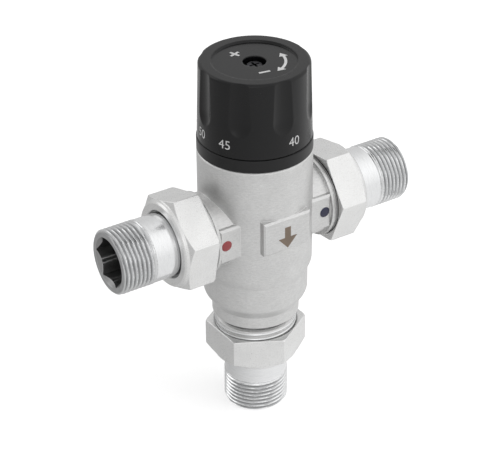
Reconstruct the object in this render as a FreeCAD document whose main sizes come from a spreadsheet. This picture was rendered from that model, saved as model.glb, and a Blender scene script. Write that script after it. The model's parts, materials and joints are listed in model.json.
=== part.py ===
import FreeCAD, Part
import math
import os
import re
import Sketcher

# Thermostatic mixing valve with three union tailpieces.
# Millimetres. +Z is up along the knob's axis, -Y is the front, -X is the hot inlet and
# +X the cold inlet. The origin is the centre of the outlet tailpiece's end face.

doc = FreeCAD.newDocument("mixing_valve")
Vector = FreeCAD.Vector

# ---------------------------------------------------------------------------------
# Driving dimensions
# ---------------------------------------------------------------------------------

SIZES = [
    # A number can be changed by itself. A text is worked out from other sizes.
    # unions, outwards from the G 3/4 male thread of a tailpiece
    ("tail_length", 30.3, "tailpiece, end to end"),
    ("tail_thread_radius", 13.22, "G 3/4 major radius"),
    ("tail_thread_length", 14.3, "length of the male thread"),
    ("tail_end_chamfer", 0.72, "chamfer at the start of the thread"),
    ("barrel_step", 0.18, "how far the barrel lies below the thread's crests"),
    ("tail_barrel_radius", "tail_thread_radius - barrel_step", "barrel of a tailpiece"),
    ("flange_land", 1.35, "width of the flange's face under the nut"),
    ("tail_flange_radius", "nut_hole_radius + flange_land", "flange that the union nut pulls on"),
    ("tail_flange_length", 3, "flange thickness"),
    ("tail_wall", 4.32, "wall between waterway and thread"),
    ("tail_bore_radius", "tail_thread_radius - tail_wall", "waterway"),
    ("tail_hex_flats", "2 * tail_bore_radius", "hexagon socket for the key, across flats"),
    ("tail_hex_depth", 13, "depth of the hexagon socket"),
    ("gasket_thickness", 2, "fibre washer between flange and valve"),
    ("gasket_step", 1.1, "from the waterway to the washer's hole"),
    ("gasket_bore_radius", "tail_bore_radius + gasket_step", "hole of the fibre washer"),
    # union nuts
    ("nut_wall", 1.4, "from the union thread to the flats"),
    ("nut_flats", "2 * (union_thread_radius + nut_wall)", "union nut across flats"),
    ("nut_height", 14.4, "union nut, face to face"),
    ("nut_shoulder", 3.2, "thickness of the inward shoulder"),
    ("nut_hole_gap", 0.48, "play of the nut's hole over the tailpiece's thread"),
    ("nut_hole_radius", "tail_thread_radius + nut_hole_gap", "hole round the tailpiece"),
    ("nut_hole_bevel", 0.6, "bevel of that hole at the outer face"),
    ("nut_rim_inset", 0.05, "from the flats in to the rim"),
    ("nut_rim_radius", "nut_flats / 2 - nut_rim_inset", "round rim of the outer end"),
    ("nut_rim_width", 1.05, "from the rim in to the flat part of the outer face"),
    ("nut_face_radius", "nut_rim_radius - nut_rim_width", "flat part of the outer face"),
    ("nut_rim_length", 1.7, "length of that rim"),
    ("nut_rim_bevel", 0.35, "first, steeper bevel of the rim"),
    ("nut_cone_length", 3.1, "from the outer face to the hexagon's corners"),
    ("nut_back_bevel", 0.6, "bevel of the corners at the valve end"),
    ("nut_mouth_bevel", 0.75, "lead-in of the nut's thread"),
    ("flange_gap", 1.55, "from the flange to the union thread"),
    ("union_thread_radius", "tail_flange_radius + flange_gap", "G 1 major radius, on the valve"),
    ("union_thread_fit", 0.1, "radial play between union thread and nut"),
    ("union_thread_length", 10.4, "male union thread at the outlet"),
    ("union_lead", 0.7, "lead chamfer of the male union threads"),
    # valve body, upwards from the outlet
    ("relief_depth", 1, "depth of the thread relief groove"),
    ("relief_radius", "union_thread_radius - relief_depth", "thread relief groove"),
    ("relief_height", 2.3, "height of the relief groove"),
    ("union_end", "tail_length + gasket_thickness", "lower end of the body"),
    ("neck_bottom", "union_end + union_thread_length + relief_height", "lower end of the neck"),
    ("neck_height", 4.9, "height of the neck"),
    ("neck_top", "neck_bottom + neck_height", "upper end of the neck"),
    ("neck_stand", 1.25, "how far the neck stands out past the union thread"),
    ("neck_radius", "union_thread_radius + neck_stand", "outlet neck"),
    ("waist_cone", 5.3, "height of the cone between neck and waist"),
    ("waist_bottom", "neck_top + waist_cone", "lower end of the waist"),
    ("waist_height", 10.4, "height of the waist"),
    ("waist_top", "waist_bottom + waist_height", "upper end of the waist"),
    ("waist_step", 1.7, "how far the waist lies inside the barrel"),
    ("waist_radius", "body_radius - waist_step", "lower, slimmer barrel"),
    ("shoulder_height", 3.9, "height of the slope between waist and barrel"),
    ("barrel_bottom", "waist_top + shoulder_height", "lower end of the full barrel"),
    ("shoulder_rounding", 5, "rounding where the body steps in"),
    ("barrel_drop", 19.5, "from the inlets' axis down to the barrel's end"),
    ("run_height", "barrel_bottom + barrel_drop", "height of the inlets' common axis"),
    ("head_height", 31.4, "from that axis up to the top face"),
    ("body_top", "run_height + head_height", "top face of the body"),
    ("body_top_bevel", 0.5, "small bevel under the stop ring"),
    ("body_wall", 5.95, "wall round the bonnet's thread"),
    ("body_radius", "head_radius + body_wall", "barrel of the body"),
    # inlet bosses, flats and pads
    ("boss_step", 1.1, "how far a boss lies inside the union thread"),
    ("boss_radius", "union_thread_radius - boss_step", "inlet bosses"),
    ("collar_width", 1.2, "width of the collar"),
    ("collar_gap", 1.3, "gap between collar and union nut"),
    ("nut_mouth", "arm_end + gasket_thickness + tail_flange_length + nut_shoulder - nut_height",
     "valve end of an inlet nut, from the valve's axis"),
    ("collar_inner", "nut_mouth - collar_gap - collar_width", "start of the collar on a boss"),
    ("collar_stand", 0.4, "how far the collar stands out past the union thread"),
    ("collar_radius", "union_thread_radius + collar_stand", "collar next to the union nut"),
    ("flat_stand", 0.1, "how far the flats stand out past the boss"),
    ("flat_front", "boss_radius + flat_stand", "flat beside an inlet, from the middle plane"),
    ("flat_below", 7.3, "from the inlets' axis down to the flats' lower edge"),
    ("flat_bottom", "run_height - flat_below", "lower edge of the inlet flats"),
    ("flat_above", 7.8, "from the inlets' axis up to the flats' upper edge"),
    ("flat_top", "run_height + flat_above", "upper edge of the inlet flats"),
    ("flat_bevel", 0.8, "bevel round an inlet flat"),
    ("pad_stand", 0.6, "how far a pad stands out past the barrel"),
    ("pad_front", "body_radius + pad_stand", "name pad, from the middle plane"),
    ("pad_half_width", 10.8, "half width of the name pad"),
    ("pad_below", 5, "from the inlets' axis down to the pad's lower edge"),
    ("pad_bottom", "run_height - pad_below", "lower edge of the name pad"),
    ("pad_above", 9.7, "from the inlets' axis up to the pad's upper edge"),
    ("pad_top", "run_height + pad_above", "upper edge of the name pad"),
    ("pad_bevel", 0.7, "bevel round the pad's face"),
    ("marker_gap", 3, "from the collar to the middle of a colour dot"),
    ("marker_offset", "collar_inner - marker_gap", "colour dot, from the valve's axis"),
    ("marker_lift", 0.5, "colour dots above the inlets' axis"),
    ("marker_height", "run_height + marker_lift", "height of the colour dots"),
    ("marker_radius", 2.3, "radius of a colour dot"),
    ("marker_depth", 0.5, "depth of the dot's recess"),
    # waterways and seats in the body
    ("outlet_wall", 5.1, "wall of the outlet, to the union thread"),
    ("outlet_radius", "union_thread_radius - outlet_wall", "outlet bore at the union"),
    ("chamber_step", 1.4, "shoulder that carries the hot seat ring"),
    ("chamber_radius", "seat_radius - chamber_step", "chamber of the return spring"),
    ("ledge_drop", 12, "from the hot seat ring down to the spring's ledge"),
    ("spring_ledge", "seat_bottom - ledge_drop", "ledge that carries the return spring"),
    ("throat_radius", "return_radius - return_wire", "bore under the ledge"),
    ("throat_length", 14, "length of that bore"),
    ("throat_bottom", "spring_ledge - throat_length", "lower end of that bore"),
    ("seat_radius", "shuttle_radius - thin_gap", "bore for the hot seat ring"),
    ("seat_depth", 3, "depth of that bore below the gallery"),
    ("seat_bottom", "hot_floor - seat_depth", "shoulder under the hot seat ring"),
    ("floor_gap", 5, "from the gallery's floor up to the shuttle"),
    ("hot_floor", "shuttle_bottom - floor_gap", "floor of the hot gallery"),
    ("land_half", 2.5, "half height of the land between hot and cold"),
    ("land_bottom", "run_height - land_half", "lower edge of that land"),
    ("land_top", "run_height + land_half", "upper edge of that land"),
    ("gallery_depth", 4, "gallery round the shuttle"),
    ("gallery_radius", "shuttle_radius + gallery_depth", "radius of the hot gallery"),
    ("head_step", 0.05, "step between gallery and bonnet thread"),
    ("head_radius", "gallery_radius + head_step", "threaded bore for the bonnet"),
    ("shuttle_fit", 0.05, "radial play of the shuttle in the land"),
    ("port_wall", 3.3, "wall between a gallery and an inlet bore"),
    ("inlet_step", "gallery_radius + port_wall", "closed end of an inlet bore"),
    ("check_ledge", 2, "ledge that stops a check valve"),
    ("inlet_step_radius", "check_bore_radius - check_ledge", "radius of the closed end"),
    ("inlet_step_depth", 2.5, "length of the closed end"),
    ("check_shoulder", "inlet_step + inlet_step_depth", "shoulder that stops the check valve"),
    ("inlet_wall", 5.6, "wall round a check valve, to the union thread"),
    ("check_bore_radius", "union_thread_radius - inlet_wall", "bore for the check valve"),
    ("port_half_width", 4.5, "half width of a port into a gallery"),
    ("port_height", 5, "height of a port"),
    ("port_margin", 0.5, "from the land to the near edge of a port"),
    ("port_gap", "land_half + port_margin", "from the inlet axis to that edge"),
    ("port_reach", 2.7, "how far a port's cut runs into its gallery"),
    ("port_length", "port_wall + port_reach", "length of a port"),
    ("check_recess", 0.5, "how far a check valve lies inside its boss"),
    ("arm_end", "check_end + check_recess", "end of a boss, from the valve's axis"),
    ("half_span", "arm_end + gasket_thickness + tail_length", "end of an inlet tailpiece"),
    # shuttle, element and return spring
    ("shuttle_radius", 13, "mixing shuttle"),
    ("shuttle_height", 14, "length of the shuttle"),
    ("shuttle_bottom", "run_height - shuttle_height / 2", "lower edge of the shuttle"),
    ("shuttle_wall", 2.6, "wall of the shuttle"),
    ("shuttle_bore", "shuttle_radius - shuttle_wall", "inside of the shuttle"),
    ("hub_lift", 2, "from the shuttle's lower edge up to its web"),
    ("hub_bottom", "shuttle_bottom + hub_lift", "underside of the shuttle's web"),
    ("hub_height", 3, "thickness of the web"),
    ("window_edge", 0.4, "from the shuttle's inside to the holes through the web"),
    ("window_web", 0.65, "from those holes to the bulb's hole"),
    ("window_width", "shuttle_bore - window_edge - element_radius - element_fit - window_web",
     "width of those holes"),
    ("window_radius", "window_width / 2", "radius of those holes"),
    ("window_circle", "shuttle_bore - window_edge - window_radius", "circle of those holes"),
    ("window_count", 8, "number of those holes"),
    ("seat_gap", 0.6, "water gap at each end of the shuttle"),
    ("seat_wall", 1.7, "wall of the hot seat ring"),
    ("element_radius", 6, "wax element bulb"),
    ("element_fit", 0.15, "play of the bulb in the web"),
    ("bulb_length", 21, "bulb, below its flange"),
    ("element_bottom", "hub_bottom + hub_height - bulb_length", "lower end of the bulb"),
    ("element_flange_width", 2.2, "how far the flange stands out past the bulb"),
    ("element_flange_radius", "element_radius + element_flange_width", "flange on the web"),
    ("element_flange_height", 2.3, "thickness of that flange"),
    ("guide_wall", 2.1, "wall of the guide neck"),
    ("element_neck_radius", "pin_radius + guide_wall", "guide neck"),
    ("element_neck_length", 9.7, "length of the neck"),
    ("element_neck_top", "hub_bottom + hub_height + element_flange_height + element_neck_length",
     "upper end of the neck"),
    ("pin_radius", 1.5, "actuator pin"),
    ("pin_fit", 0.1, "play of the pin"),
    ("pin_depth", 6, "how far the pin stands in the neck"),
    ("pin_bottom", "element_neck_top - pin_depth", "lower end of the pin"),
    ("pin_room", 2.5, "room under the pin"),
    ("return_gap", 1.1, "from the shuttle's inside to the middle of the spring's wire"),
    ("return_radius", "shuttle_bore - return_gap", "return spring, mean radius"),
    ("return_wire", 0.7, "return spring, radius of the wire"),
    ("return_turns", 5, "return spring, turns"),
    # bonnet
    ("nose_step", 0.4, "how far the nose stands out past the shuttle"),
    ("nose_radius", "shuttle_radius + nose_step", "nose of the bonnet"),
    ("nose_length", 3.9, "length of the nose"),
    ("nose_top", "shuttle_bottom + shuttle_height + seat_gap + nose_length", "end of the nose"),
    ("nose_room", 1, "room round the plunger's keys"),
    ("nose_bore", "key_radius + nose_room", "bore of the nose"),
    ("nose_bore_rise", 3.5, "how far that bore runs past the nose"),
    ("nose_bore_top", "nose_top + nose_bore_rise", "upper end of that bore"),
    ("head_fit", 0.1, "play of the bonnet's thread"),
    ("collar_seat", 0.45, "width of the collar's seat on the body"),
    ("bonnet_collar_radius", "head_radius + collar_seat", "collar that rests on the body"),
    ("bonnet_collar_height", 2, "thickness of that collar"),
    ("hex_inset", 4.5, "from the collar's edge in to the hexagon's flats"),
    ("bonnet_hex_flats", "2 * (bonnet_collar_radius - hex_inset)", "key hexagon of the bonnet"),
    ("hex_cover", 4.5, "hexagon above the spindle's shoulder"),
    ("bonnet_hex_top", "spindle_shoulder + hex_cover", "top of the hexagon"),
    ("bonnet_neck_wall", 4.5, "wall of the neck round the spindle"),
    ("bonnet_neck_radius", "spindle_radius + bonnet_neck_wall", "neck of the bonnet"),
    ("bonnet_neck_length", 12.5, "from the spindle's shoulder to the bonnet's top"),
    ("bonnet_top", "spindle_shoulder + bonnet_neck_length", "top of the bonnet"),
    # plunger
    ("plunger_radius", 9, "adjusting plunger"),
    ("plunger_fit", 0.1, "play of the plunger"),
    ("plunger_lift", 1.5, "plunger above the nose"),
    ("plunger_bottom", "nose_top + plunger_lift", "lower end of the plunger"),
    ("plunger_height", 17, "length of the plunger"),
    ("plunger_side", 1.7, "side wall of the plunger"),
    ("plunger_bore", "plunger_radius - plunger_side", "spring chamber of the plunger"),
    ("plunger_wall", 4.4, "top wall of the plunger, which carries the thread"),
    ("key_width", 2, "key of the plunger"),
    ("key_height", 1.2, "how far a key stands out"),
    ("key_radius", "plunger_radius + key_height", "tip of the key"),
    ("key_fit", 0.1, "play of the key on each side"),
    # spindle
    ("plunger_room", 3, "room between plunger and spindle collar"),
    ("plunger_top", "plunger_bottom + plunger_height", "top of the plunger"),
    ("spindle_shoulder", "plunger_top + plunger_room + spindle_collar_height + thin_gap",
     "shoulder over the spindle's collar"),
    ("spindle_collar_width", 2.1, "how far the collar stands out"),
    ("spindle_collar_radius", "spindle_radius + spindle_collar_width", "collar of the spindle"),
    ("spindle_collar_height", 2.4, "thickness of the collar"),
    ("spindle_radius", 4.5, "shaft of the spindle"),
    ("spindle_fit", 0.05, "play of the shaft"),
    ("thread_step", 0.55, "how far the thread lies below the shaft"),
    ("spindle_thread_radius", "spindle_radius - thread_step", "left-hand thread of the spindle"),
    ("thread_reach", 6.5, "how far the spindle reaches into the plunger"),
    ("spindle_bottom", "plunger_top - thread_reach", "lower end of the spindle"),
    ("spline_length", 11.5, "length of the splines"),
    ("spindle_top", "spline_bottom + spline_length", "upper end of the spindle"),
    ("spline_gap", 1.5, "from the circlip up to the splines"),
    ("spline_bottom", "clip_height + clip_thickness + spline_gap", "lower end of the splines"),
    ("spline_count", 12, "number of splines"),
    ("spline_depth", 0.5, "depth of a spline"),
    ("spline_notch", 0.9, "width of the notch between two splines"),
    ("clip_gap", 0.2, "gap between bonnet and circlip"),
    ("clip_height", "bonnet_top + clip_gap", "underside of the spindle's circlip"),
    ("clip_thickness", 0.8, "thickness of the circlip"),
    ("clip_width", 2, "how far the circlip stands out"),
    ("clip_radius", "spindle_radius + clip_width", "outside of the circlip"),
    ("clip_angle", 300, "arc of the circlip"),
    ("clip_groove_depth", 0.6, "depth of its groove"),
    ("clip_groove_radius", "spindle_radius - clip_groove_depth", "groove under the circlip"),
    # spring cap, its circlip and the overtravel spring
    ("cap_bottom", "retainer_bottom + retainer_thickness + thin_gap", "underside of the cap"),
    ("cap_fit", 0.2, "play of the cap in the plunger"),
    ("cap_radius", "plunger_bore - cap_fit", "flange of the spring cap"),
    ("cap_flange", 2.9, "thickness of that flange"),
    ("cap_boss_gap", 0.7, "gap between boss and spring"),
    ("cap_boss_radius", "overtravel_radius - overtravel_wire - cap_boss_gap",
     "boss inside the overtravel spring"),
    ("cap_boss_height", 1.3, "height of that boss"),
    ("cap_socket_depth", 2, "socket for the pin"),
    ("retainer_inset", 0.3, "circlip above the plunger's end"),
    ("retainer_bottom", "plunger_bottom + retainer_inset", "underside of the plunger's circlip"),
    ("retainer_thickness", 0.9, "thickness of that circlip"),
    ("retainer_land", 0.9, "how far the circlip reaches under the cap"),
    ("retainer_bore", "cap_radius - retainer_land", "hole of that circlip"),
    ("retainer_angle", 310, "arc of that circlip"),
    ("retainer_depth", 0.5, "depth of its groove"),
    ("retainer_groove", "plunger_bore + retainer_depth", "groove for that circlip"),
    ("overtravel_inset", 1.7, "from the plunger's inside to the middle of the wire"),
    ("overtravel_radius", "plunger_bore - overtravel_inset", "overtravel spring, mean radius"),
    ("overtravel_wire", 0.7, "overtravel spring, radius of the wire"),
    ("overtravel_turns", 4, "overtravel spring, turns"),
    # stop ring
    ("ring_height", 5.3, "height of the stop ring"),
    ("ring_fit", 0.3, "play of the ring over the bonnet's collar"),
    ("ring_bore", "bonnet_collar_radius + ring_fit", "bore over the bonnet's collar"),
    ("ring_lip_width", 1.9, "how far the lip reaches over the collar"),
    ("ring_lip_radius", "bonnet_collar_radius - ring_lip_width", "lip over the collar"),
    ("ring_lip_gap", 0.2, "gap between lip and collar"),
    ("ring_lip_bottom", "bonnet_collar_height + ring_lip_gap", "lip's underside, above the body"),
    ("ring_bevel", 0.3, "bevel of the ring's edges"),
    ("stop_room", 0.9, "gap between the stop lug and the knob's wall"),
    ("stop_outer", "knob_skirt_radius - knob_wall - stop_room", "stop lug, outer radius"),
    ("stop_width", 3, "width of the stop lug"),
    ("stop_inner", "stop_outer - stop_width", "stop lug, inner radius"),
    ("stop_height", 2.5, "height of the stop lug"),
    ("stop_angle", 90, "arc of the stop lug"),
    ("stop_play", 0.5, "play at each end of the knob's turn, degrees"),
    ("turn_hotter", 148, "turn of the knob to its hottest mark, degrees"),
    ("turn_colder", 70, "turn of the knob to its coldest mark, degrees"),
    # knob
    ("knob_gap", 0.3, "seam between ring and knob"),
    ("skirt_step", 0.3, "how far the knob lies inside the ring"),
    ("knob_skirt_radius", "body_radius - skirt_step", "knob at its lower edge"),
    ("knob_taper", 0.9, "how much slimmer the knob is at its upper edge"),
    ("knob_top_radius", "knob_skirt_radius - knob_taper", "knob at its upper edge"),
    ("knob_roof", 4.6, "from the ceiling up to the rim"),
    ("knob_top", "knob_ceiling + knob_roof", "top of the knob's rim"),
    ("knob_edge", 1.1, "rounding of the upper edge"),
    ("knob_wall", 2.3, "wall of the skirt"),
    ("ceiling_lift", 2, "ceiling above the spindle's end"),
    ("knob_ceiling", "spindle_top + ceiling_lift", "ceiling of the hollow knob"),
    ("knob_rim", 5, "width of the rim round the recess"),
    ("knob_dish_radius", "knob_top_radius - knob_rim", "recess in the knob's top"),
    ("knob_dish_depth", 0.8, "depth of that recess"),
    ("knob_web", 1.6, "web under the screw's head"),
    ("hub_wall", 3, "wall of the hub"),
    ("knob_hub_radius", "spindle_radius + hub_wall", "hub on the spindle"),
    ("hub_gap", 2, "splines free below the hub"),
    ("knob_hub_bottom", "spline_bottom + hub_gap", "lower end of the hub"),
    ("knob_lug_inset", 0.3, "knob's stop lug outside the ring's inner radius"),
    ("knob_lug_inner", "stop_inner + knob_lug_inset", "inner radius of that lug"),
    ("knob_lug_gap", 0.4, "height of that lug above the knob's edge"),
    ("knob_rib_width", 1.6, "ribs between hub and skirt"),
    ("knob_rib_height", 6, "depth of the ribs at the hub"),
    ("knob_rib_bottom", "knob_ceiling - knob_rib_height", "lower edge of the ribs"),
    ("knob_rib_rise", 3, "how much shallower the ribs are at the skirt"),
    ("knob_rib_count", 4, "number of those ribs"),
    ("flute_count", 8, "finger flutes round the knob"),
    ("flute_radius", 12, "radius of a flute"),
    ("flute_depth", 1.7, "depth of a flute at the lower edge's radius"),
    ("flute_centre", "knob_skirt_radius + flute_radius - flute_depth", "axis of a flute"),
    ("flute_drop", 12.2, "from the knob's ceiling down to the round end's centre"),
    ("flute_bottom", "knob_ceiling - flute_drop", "centre of a flute's round lower end"),
    ("flute_phase", -3.3, "angle of the first flute"),
    # knob screw
    ("screw_radius", 2, "M4 shank"),
    ("screw_head_width", 1.5, "how far the head stands out past the shank"),
    ("screw_head_radius", "screw_radius + screw_head_width", "knob screw, head"),
    ("screw_head_height", 2.6, "height of the head"),
    ("screw_head_edge", 0.6, "chamfer of the head"),
    ("screw_room", 1.1, "room round the head"),
    ("knob_hole_radius", "screw_head_radius + screw_room", "hole for the screw's head"),
    ("screw_length", 9, "length under the head"),
    ("screw_fit", 0.08, "play round the shank"),
    ("screw_end", 0.4, "chamfer of the screw's end"),
    ("screw_slot_width", 0.9, "cross recess, width"),
    ("screw_slot_length", 4.4, "cross recess, length"),
    ("screw_slot_depth", 1.3, "cross recess, depth"),
    # check valves
    ("check_radius", "check_bore_radius - thin_gap", "housing of a check valve"),
    ("check_length", 11.5, "length of the housing"),
    ("check_end", "check_shoulder + thin_gap + check_length", "outer end of the housing"),
    ("check_wall", 2.3, "wall of the housing"),
    ("check_chamber", "check_radius - check_wall", "chamber round the poppet"),
    ("check_seat_height", 2, "thickness of the seat"),
    ("seat_overlap", 1.1, "how far the rubber face laps the seat"),
    ("check_seat_radius", "poppet_seal_radius - seat_overlap", "hole in the seat"),
    ("guide_height", 2, "thickness of the guide plate"),
    ("guide_hole_radius", 2, "holes in the guide plate"),
    ("guide_hole_inset", 3.2, "from the chamber's wall to the holes' centres"),
    ("guide_hole_circle", "check_chamber - guide_hole_inset", "circle of those holes"),
    ("guide_hole_count", 6, "number of those holes"),
    ("stem_radius", 1.25, "stem of the poppet"),
    ("stem_fit", 0.08, "play of the stem"),
    ("poppet_room", 1, "room round the poppet's head"),
    ("poppet_radius", "check_chamber - poppet_room", "head of the poppet"),
    ("poppet_height", 1.4, "thickness of the head"),
    ("poppet_seal_height", 0.55, "rubber face of the poppet"),
    ("poppet_seal_inset", 0.3, "rubber face inside the head"),
    ("poppet_seal_radius", "poppet_radius - poppet_seal_inset", "outside of the rubber face"),
    ("poppet_seal_bore", 3, "spigot through the rubber face"),
    ("poppet_gap", 0.05, "between rubber face and seat"),
    ("check_spring_gap", 2.15, "from the stem to the middle of the wire"),
    ("check_spring_radius", "stem_radius + check_spring_gap", "check spring, mean radius"),
    ("check_spring_wire", 0.3, "check spring, radius of the wire"),
    ("check_spring_turns", 3, "check spring, turns"),
    # O-rings
    ("o_ring_section", 0.9, "radius of an O-ring's section"),
    ("o_ring_slack", 0.05, "play round an O-ring"),
    # small fits and edges
    ("cut_over", 1, "how far a cutting outline runs past the material"),
    ("thin_gap", 0.1, "smallest gap left between neighbours"),
    ("clip_play", 0.05, "play of a clip in its groove, and of the hub"),
    ("snug_fit", 0.02, "play of parts that sit in one another"),
    ("marker_fit", 0.03, "play of the paint in its recess"),
    ("thread_runout", 0.2, "cone between thread and barrel"),
    ("socket_lead", 0.07, "lead-in of the hexagon socket past its corners"),
    ("spring_end_wires", 2.2, "wire radii kept free at a spring's two ends"),
    ("check_ring_height", 2, "middle of a check valve's ring above its seat part"),
    ("poppet_edge", 0.4, "edge of the poppet's head"),
    ("poppet_boss", 1.2, "centring boss outside the check spring"),
    ("turned_edge", 0.5, "chamfer on a turned end"),
    ("element_edge", 1.5, "chamfer of the wax bulb"),
    ("pin_edge", 0.3, "chamfer of the pin"),
    ("nose_edge", 0.4, "chamfer of the bonnet's nose"),
    ("bonnet_edge", 0.8, "chamfer of the bonnet's neck"),
    ("bonnet_ring_lift", 3, "middle of the bonnet's ring above its nose"),
    ("key_rise", 2, "start of the keys above the nose's bore"),
    ("key_root", 0.5, "how deep a key or rib starts inside its wall"),
    ("rib_root", 0.2, "how deep a rib ends inside the skirt"),
    ("spline_over", 0.3, "how far the notch cutter runs past the spindle"),
    ("web_gap", 0.3, "gap between the spindle's end and the knob's web"),
    ("stop_step", 0.5, "height of the stop ring's step"),
    ("stop_over", 1, "height of the knob's lug above the ring's lug"),
    ("half_turn", 180, "half a turn, in degrees"),
    ("dish_slope", 0.3, "draft of the dish's wall"),
    ("screw_clearance", 0.15, "play of the screw in the web"),
]

sheet = doc.addObject("Spreadsheet::Sheet", "Dims")
for row, (alias, _, note) in enumerate(SIZES, start=1):
    sheet.set(f"A{row}", note)
    sheet.setAlias(f"B{row}", alias)
for row, (_, size, _) in enumerate(SIZES, start=1):
    sheet.set(f"B{row}", f"={size}" if isinstance(size, str) else str(size))
doc.recompute()

ALIASES = re.compile(r"\b(" + "|".join(alias for alias, _, _ in SIZES) + r")\b")
FULL_TURN = 360
RIGHT_ANGLE = 90
BEVEL_ANGLE = -45
SIDE_COUNT = 4
EMPTY = 1e-9
FINE = 1e-4


def bind(text):
    """Expression text with every alias written as a reference to the sheet."""
    return ALIASES.sub(r"Dims.\1", text)


def value(text):
    """Number that an expression has at present."""
    found = sheet.evalExpression(bind(text))
    return float(getattr(found, "Value", found))


# ---------------------------------------------------------------------------------
# Sketch and feature helpers
# ---------------------------------------------------------------------------------

NODES = []


def new_body(label):
    body = doc.addObject("PartDesign::Body", label)
    body.Label = label
    NODES.append(body)
    return body


def origin_item(body, role):
    return [item for item in body.Origin.OriginFeatures if item.Role == role][0]


def sketch_on(body, name, role, **offsets):
    """Sketch on one of the body's own origin planes, moved by bound offsets x, y or z."""
    sketch = body.newObject("Sketcher::SketchObject", name)
    sketch.AttachmentSupport = [(origin_item(body, role), "")]
    sketch.MapMode = "FlatFace"
    for direction, text in offsets.items():
        sketch.setExpression(f".AttachmentOffset.Base.{direction}", bind(text))
    return sketch


def pin_point(sketch, line, end, x, y):
    """Constraints that tie one point of the sketch to bound coordinates."""
    for kind, text, axis in (("DistanceX", x, -2), ("DistanceY", y, -1)):
        size = value(text)
        if abs(size) < EMPTY:
            sketch.addConstraint(Sketcher.Constraint("PointOnObject", line, end, axis))
            continue
        index = sketch.addConstraint(Sketcher.Constraint(kind, -1, 1, line, end, size))
        sketch.setExpression(f"Constraints[{index}]", bind(text))


def polygon(sketch, corners):
    """Closed outline through bound corners (x, y)."""
    points = [Vector(value(x), value(y), 0) for x, y in corners]
    count = len(points)
    first = sketch.GeometryCount
    for i in range(count):
        sketch.addGeometry(Part.LineSegment(points[i], points[(i + 1) % count]), False)
    for i in range(count):
        joint = Sketcher.Constraint("Coincident", first + i, 2, first + (i + 1) % count, 1)
        sketch.addConstraint(joint)
    for i, (x, y) in enumerate(corners):
        pin_point(sketch, first + i, 1, x, y)


def circle(sketch, radius, x="0", y="0"):
    centre = Vector(value(x), value(y), 0)
    line = sketch.addGeometry(Part.Circle(centre, Vector(0, 0, 1), value(radius)), False)
    pin_point(sketch, line, 3, x, y)
    index = sketch.addConstraint(Sketcher.Constraint("Radius", line, value(radius)))
    sketch.setExpression(f"Constraints[{index}]", bind(radius))


def rectangle(sketch, left, right, bottom, top):
    polygon(sketch, [(left, bottom), (right, bottom), (right, top), (left, top)])


def hexagon(sketch, flats):
    corners = [(f"{flats} / sqrt(3) * cos({60 * i} deg)",
                f"{flats} / sqrt(3) * sin({60 * i} deg)") for i in range(6)]
    polygon(sketch, corners)


def round_nosed(sketch, radius, centre, top):
    """Half section of an upright column whose lower end is a ball."""
    corners = [(radius, centre), (radius, top), ("0", top), ("0", f"{centre} - {radius}")]
    points = [Vector(value(x), value(y), 0) for x, y in corners]
    for start, end in zip(points, points[1:]):
        sketch.addGeometry(Part.LineSegment(start, end), False)
    whole = Part.Circle(Vector(0, value(centre), 0), Vector(0, 0, 1), value(radius))
    nose = sketch.addGeometry(Part.ArcOfCircle(whole, -math.pi / 2, 0), False)
    for line in range(len(points) - 2):
        sketch.addConstraint(Sketcher.Constraint("Coincident", line, 2, line + 1, 1))
    last = len(points) - 2
    sketch.addConstraint(Sketcher.Constraint("Coincident", last, 2, nose, 1))
    sketch.addConstraint(Sketcher.Constraint("Coincident", nose, 2, 0, 1))
    for line, (x, y) in enumerate(corners[:-1]):
        pin_point(sketch, line, 1, x, y)
    pin_point(sketch, last, 2, *corners[-1])
    index = sketch.addConstraint(Sketcher.Constraint("Radius", nose, value(radius)))
    sketch.setExpression(f"Constraints[{index}]", bind(radius))


def round_edges(feature, radius, height):
    """Names of the feature's full circles of a radius at a height."""
    names = []
    for number, edge in enumerate(feature.Shape.Edges, start=1):
        curve = edge.Curve
        if not isinstance(curve, Part.Circle):
            continue
        if abs(curve.Radius - value(radius)) < FINE and abs(curve.Center.z - value(height)) < FINE:
            names.append(f"Edge{number}")
    return names


def fillet(body, name, feature, edges, radius):
    rounding = body.newObject("PartDesign::Fillet", name)
    rounding.Base = (feature, edges)
    rounding.setExpression("Radius", bind(radius))
    doc.recompute()
    return rounding


def turn(body, name, corners, cut=False, axis="V_Axis", angle=None, **offsets):
    """Revolution, or Groove if cut, of an outline (radius, height) on the XZ plane."""
    sketch = sketch_on(body, name + "_outline", "XZ_Plane", **offsets)
    polygon(sketch, corners)
    kind = "PartDesign::Groove" if cut else "PartDesign::Revolution"
    feature = body.newObject(kind, name)
    feature.Profile = sketch
    feature.ReferenceAxis = (sketch, [axis])
    feature.Angle = FULL_TURN
    if angle:
        feature.Midplane = True
        feature.setExpression("Angle", bind(angle))
    return feature


def pad(body, name, sketch, length, middle=False, reverse=False):
    feature = body.newObject("PartDesign::Pad", name)
    feature.Profile = sketch
    feature.setExpression("Length", bind(length))
    feature.Midplane = middle
    feature.Reversed = reverse
    return feature


def pocket(body, name, sketch, length, middle=False, reverse=False):
    feature = body.newObject("PartDesign::Pocket", name)
    feature.Profile = sketch
    feature.setExpression("Length", bind(length))
    feature.Midplane = middle
    feature.Reversed = reverse
    return feature


def polar(body, name, originals, count):
    feature = body.newObject("PartDesign::PolarPattern", name)
    feature.Originals = originals
    feature.Axis = (origin_item(body, "Z_Axis"), [""])
    feature.Angle = FULL_TURN
    feature.setExpression("Occurrences", bind(count))
    body.Tip = feature
    return feature


def place(item, rotation, **base):
    """Placement with a fixed rotation and a bound position."""
    item.Placement = FreeCAD.Placement(Vector(0, 0, 0), rotation)
    for direction, text in base.items():
        item.setExpression(f".Placement.Base.{direction}", bind(text))


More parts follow.
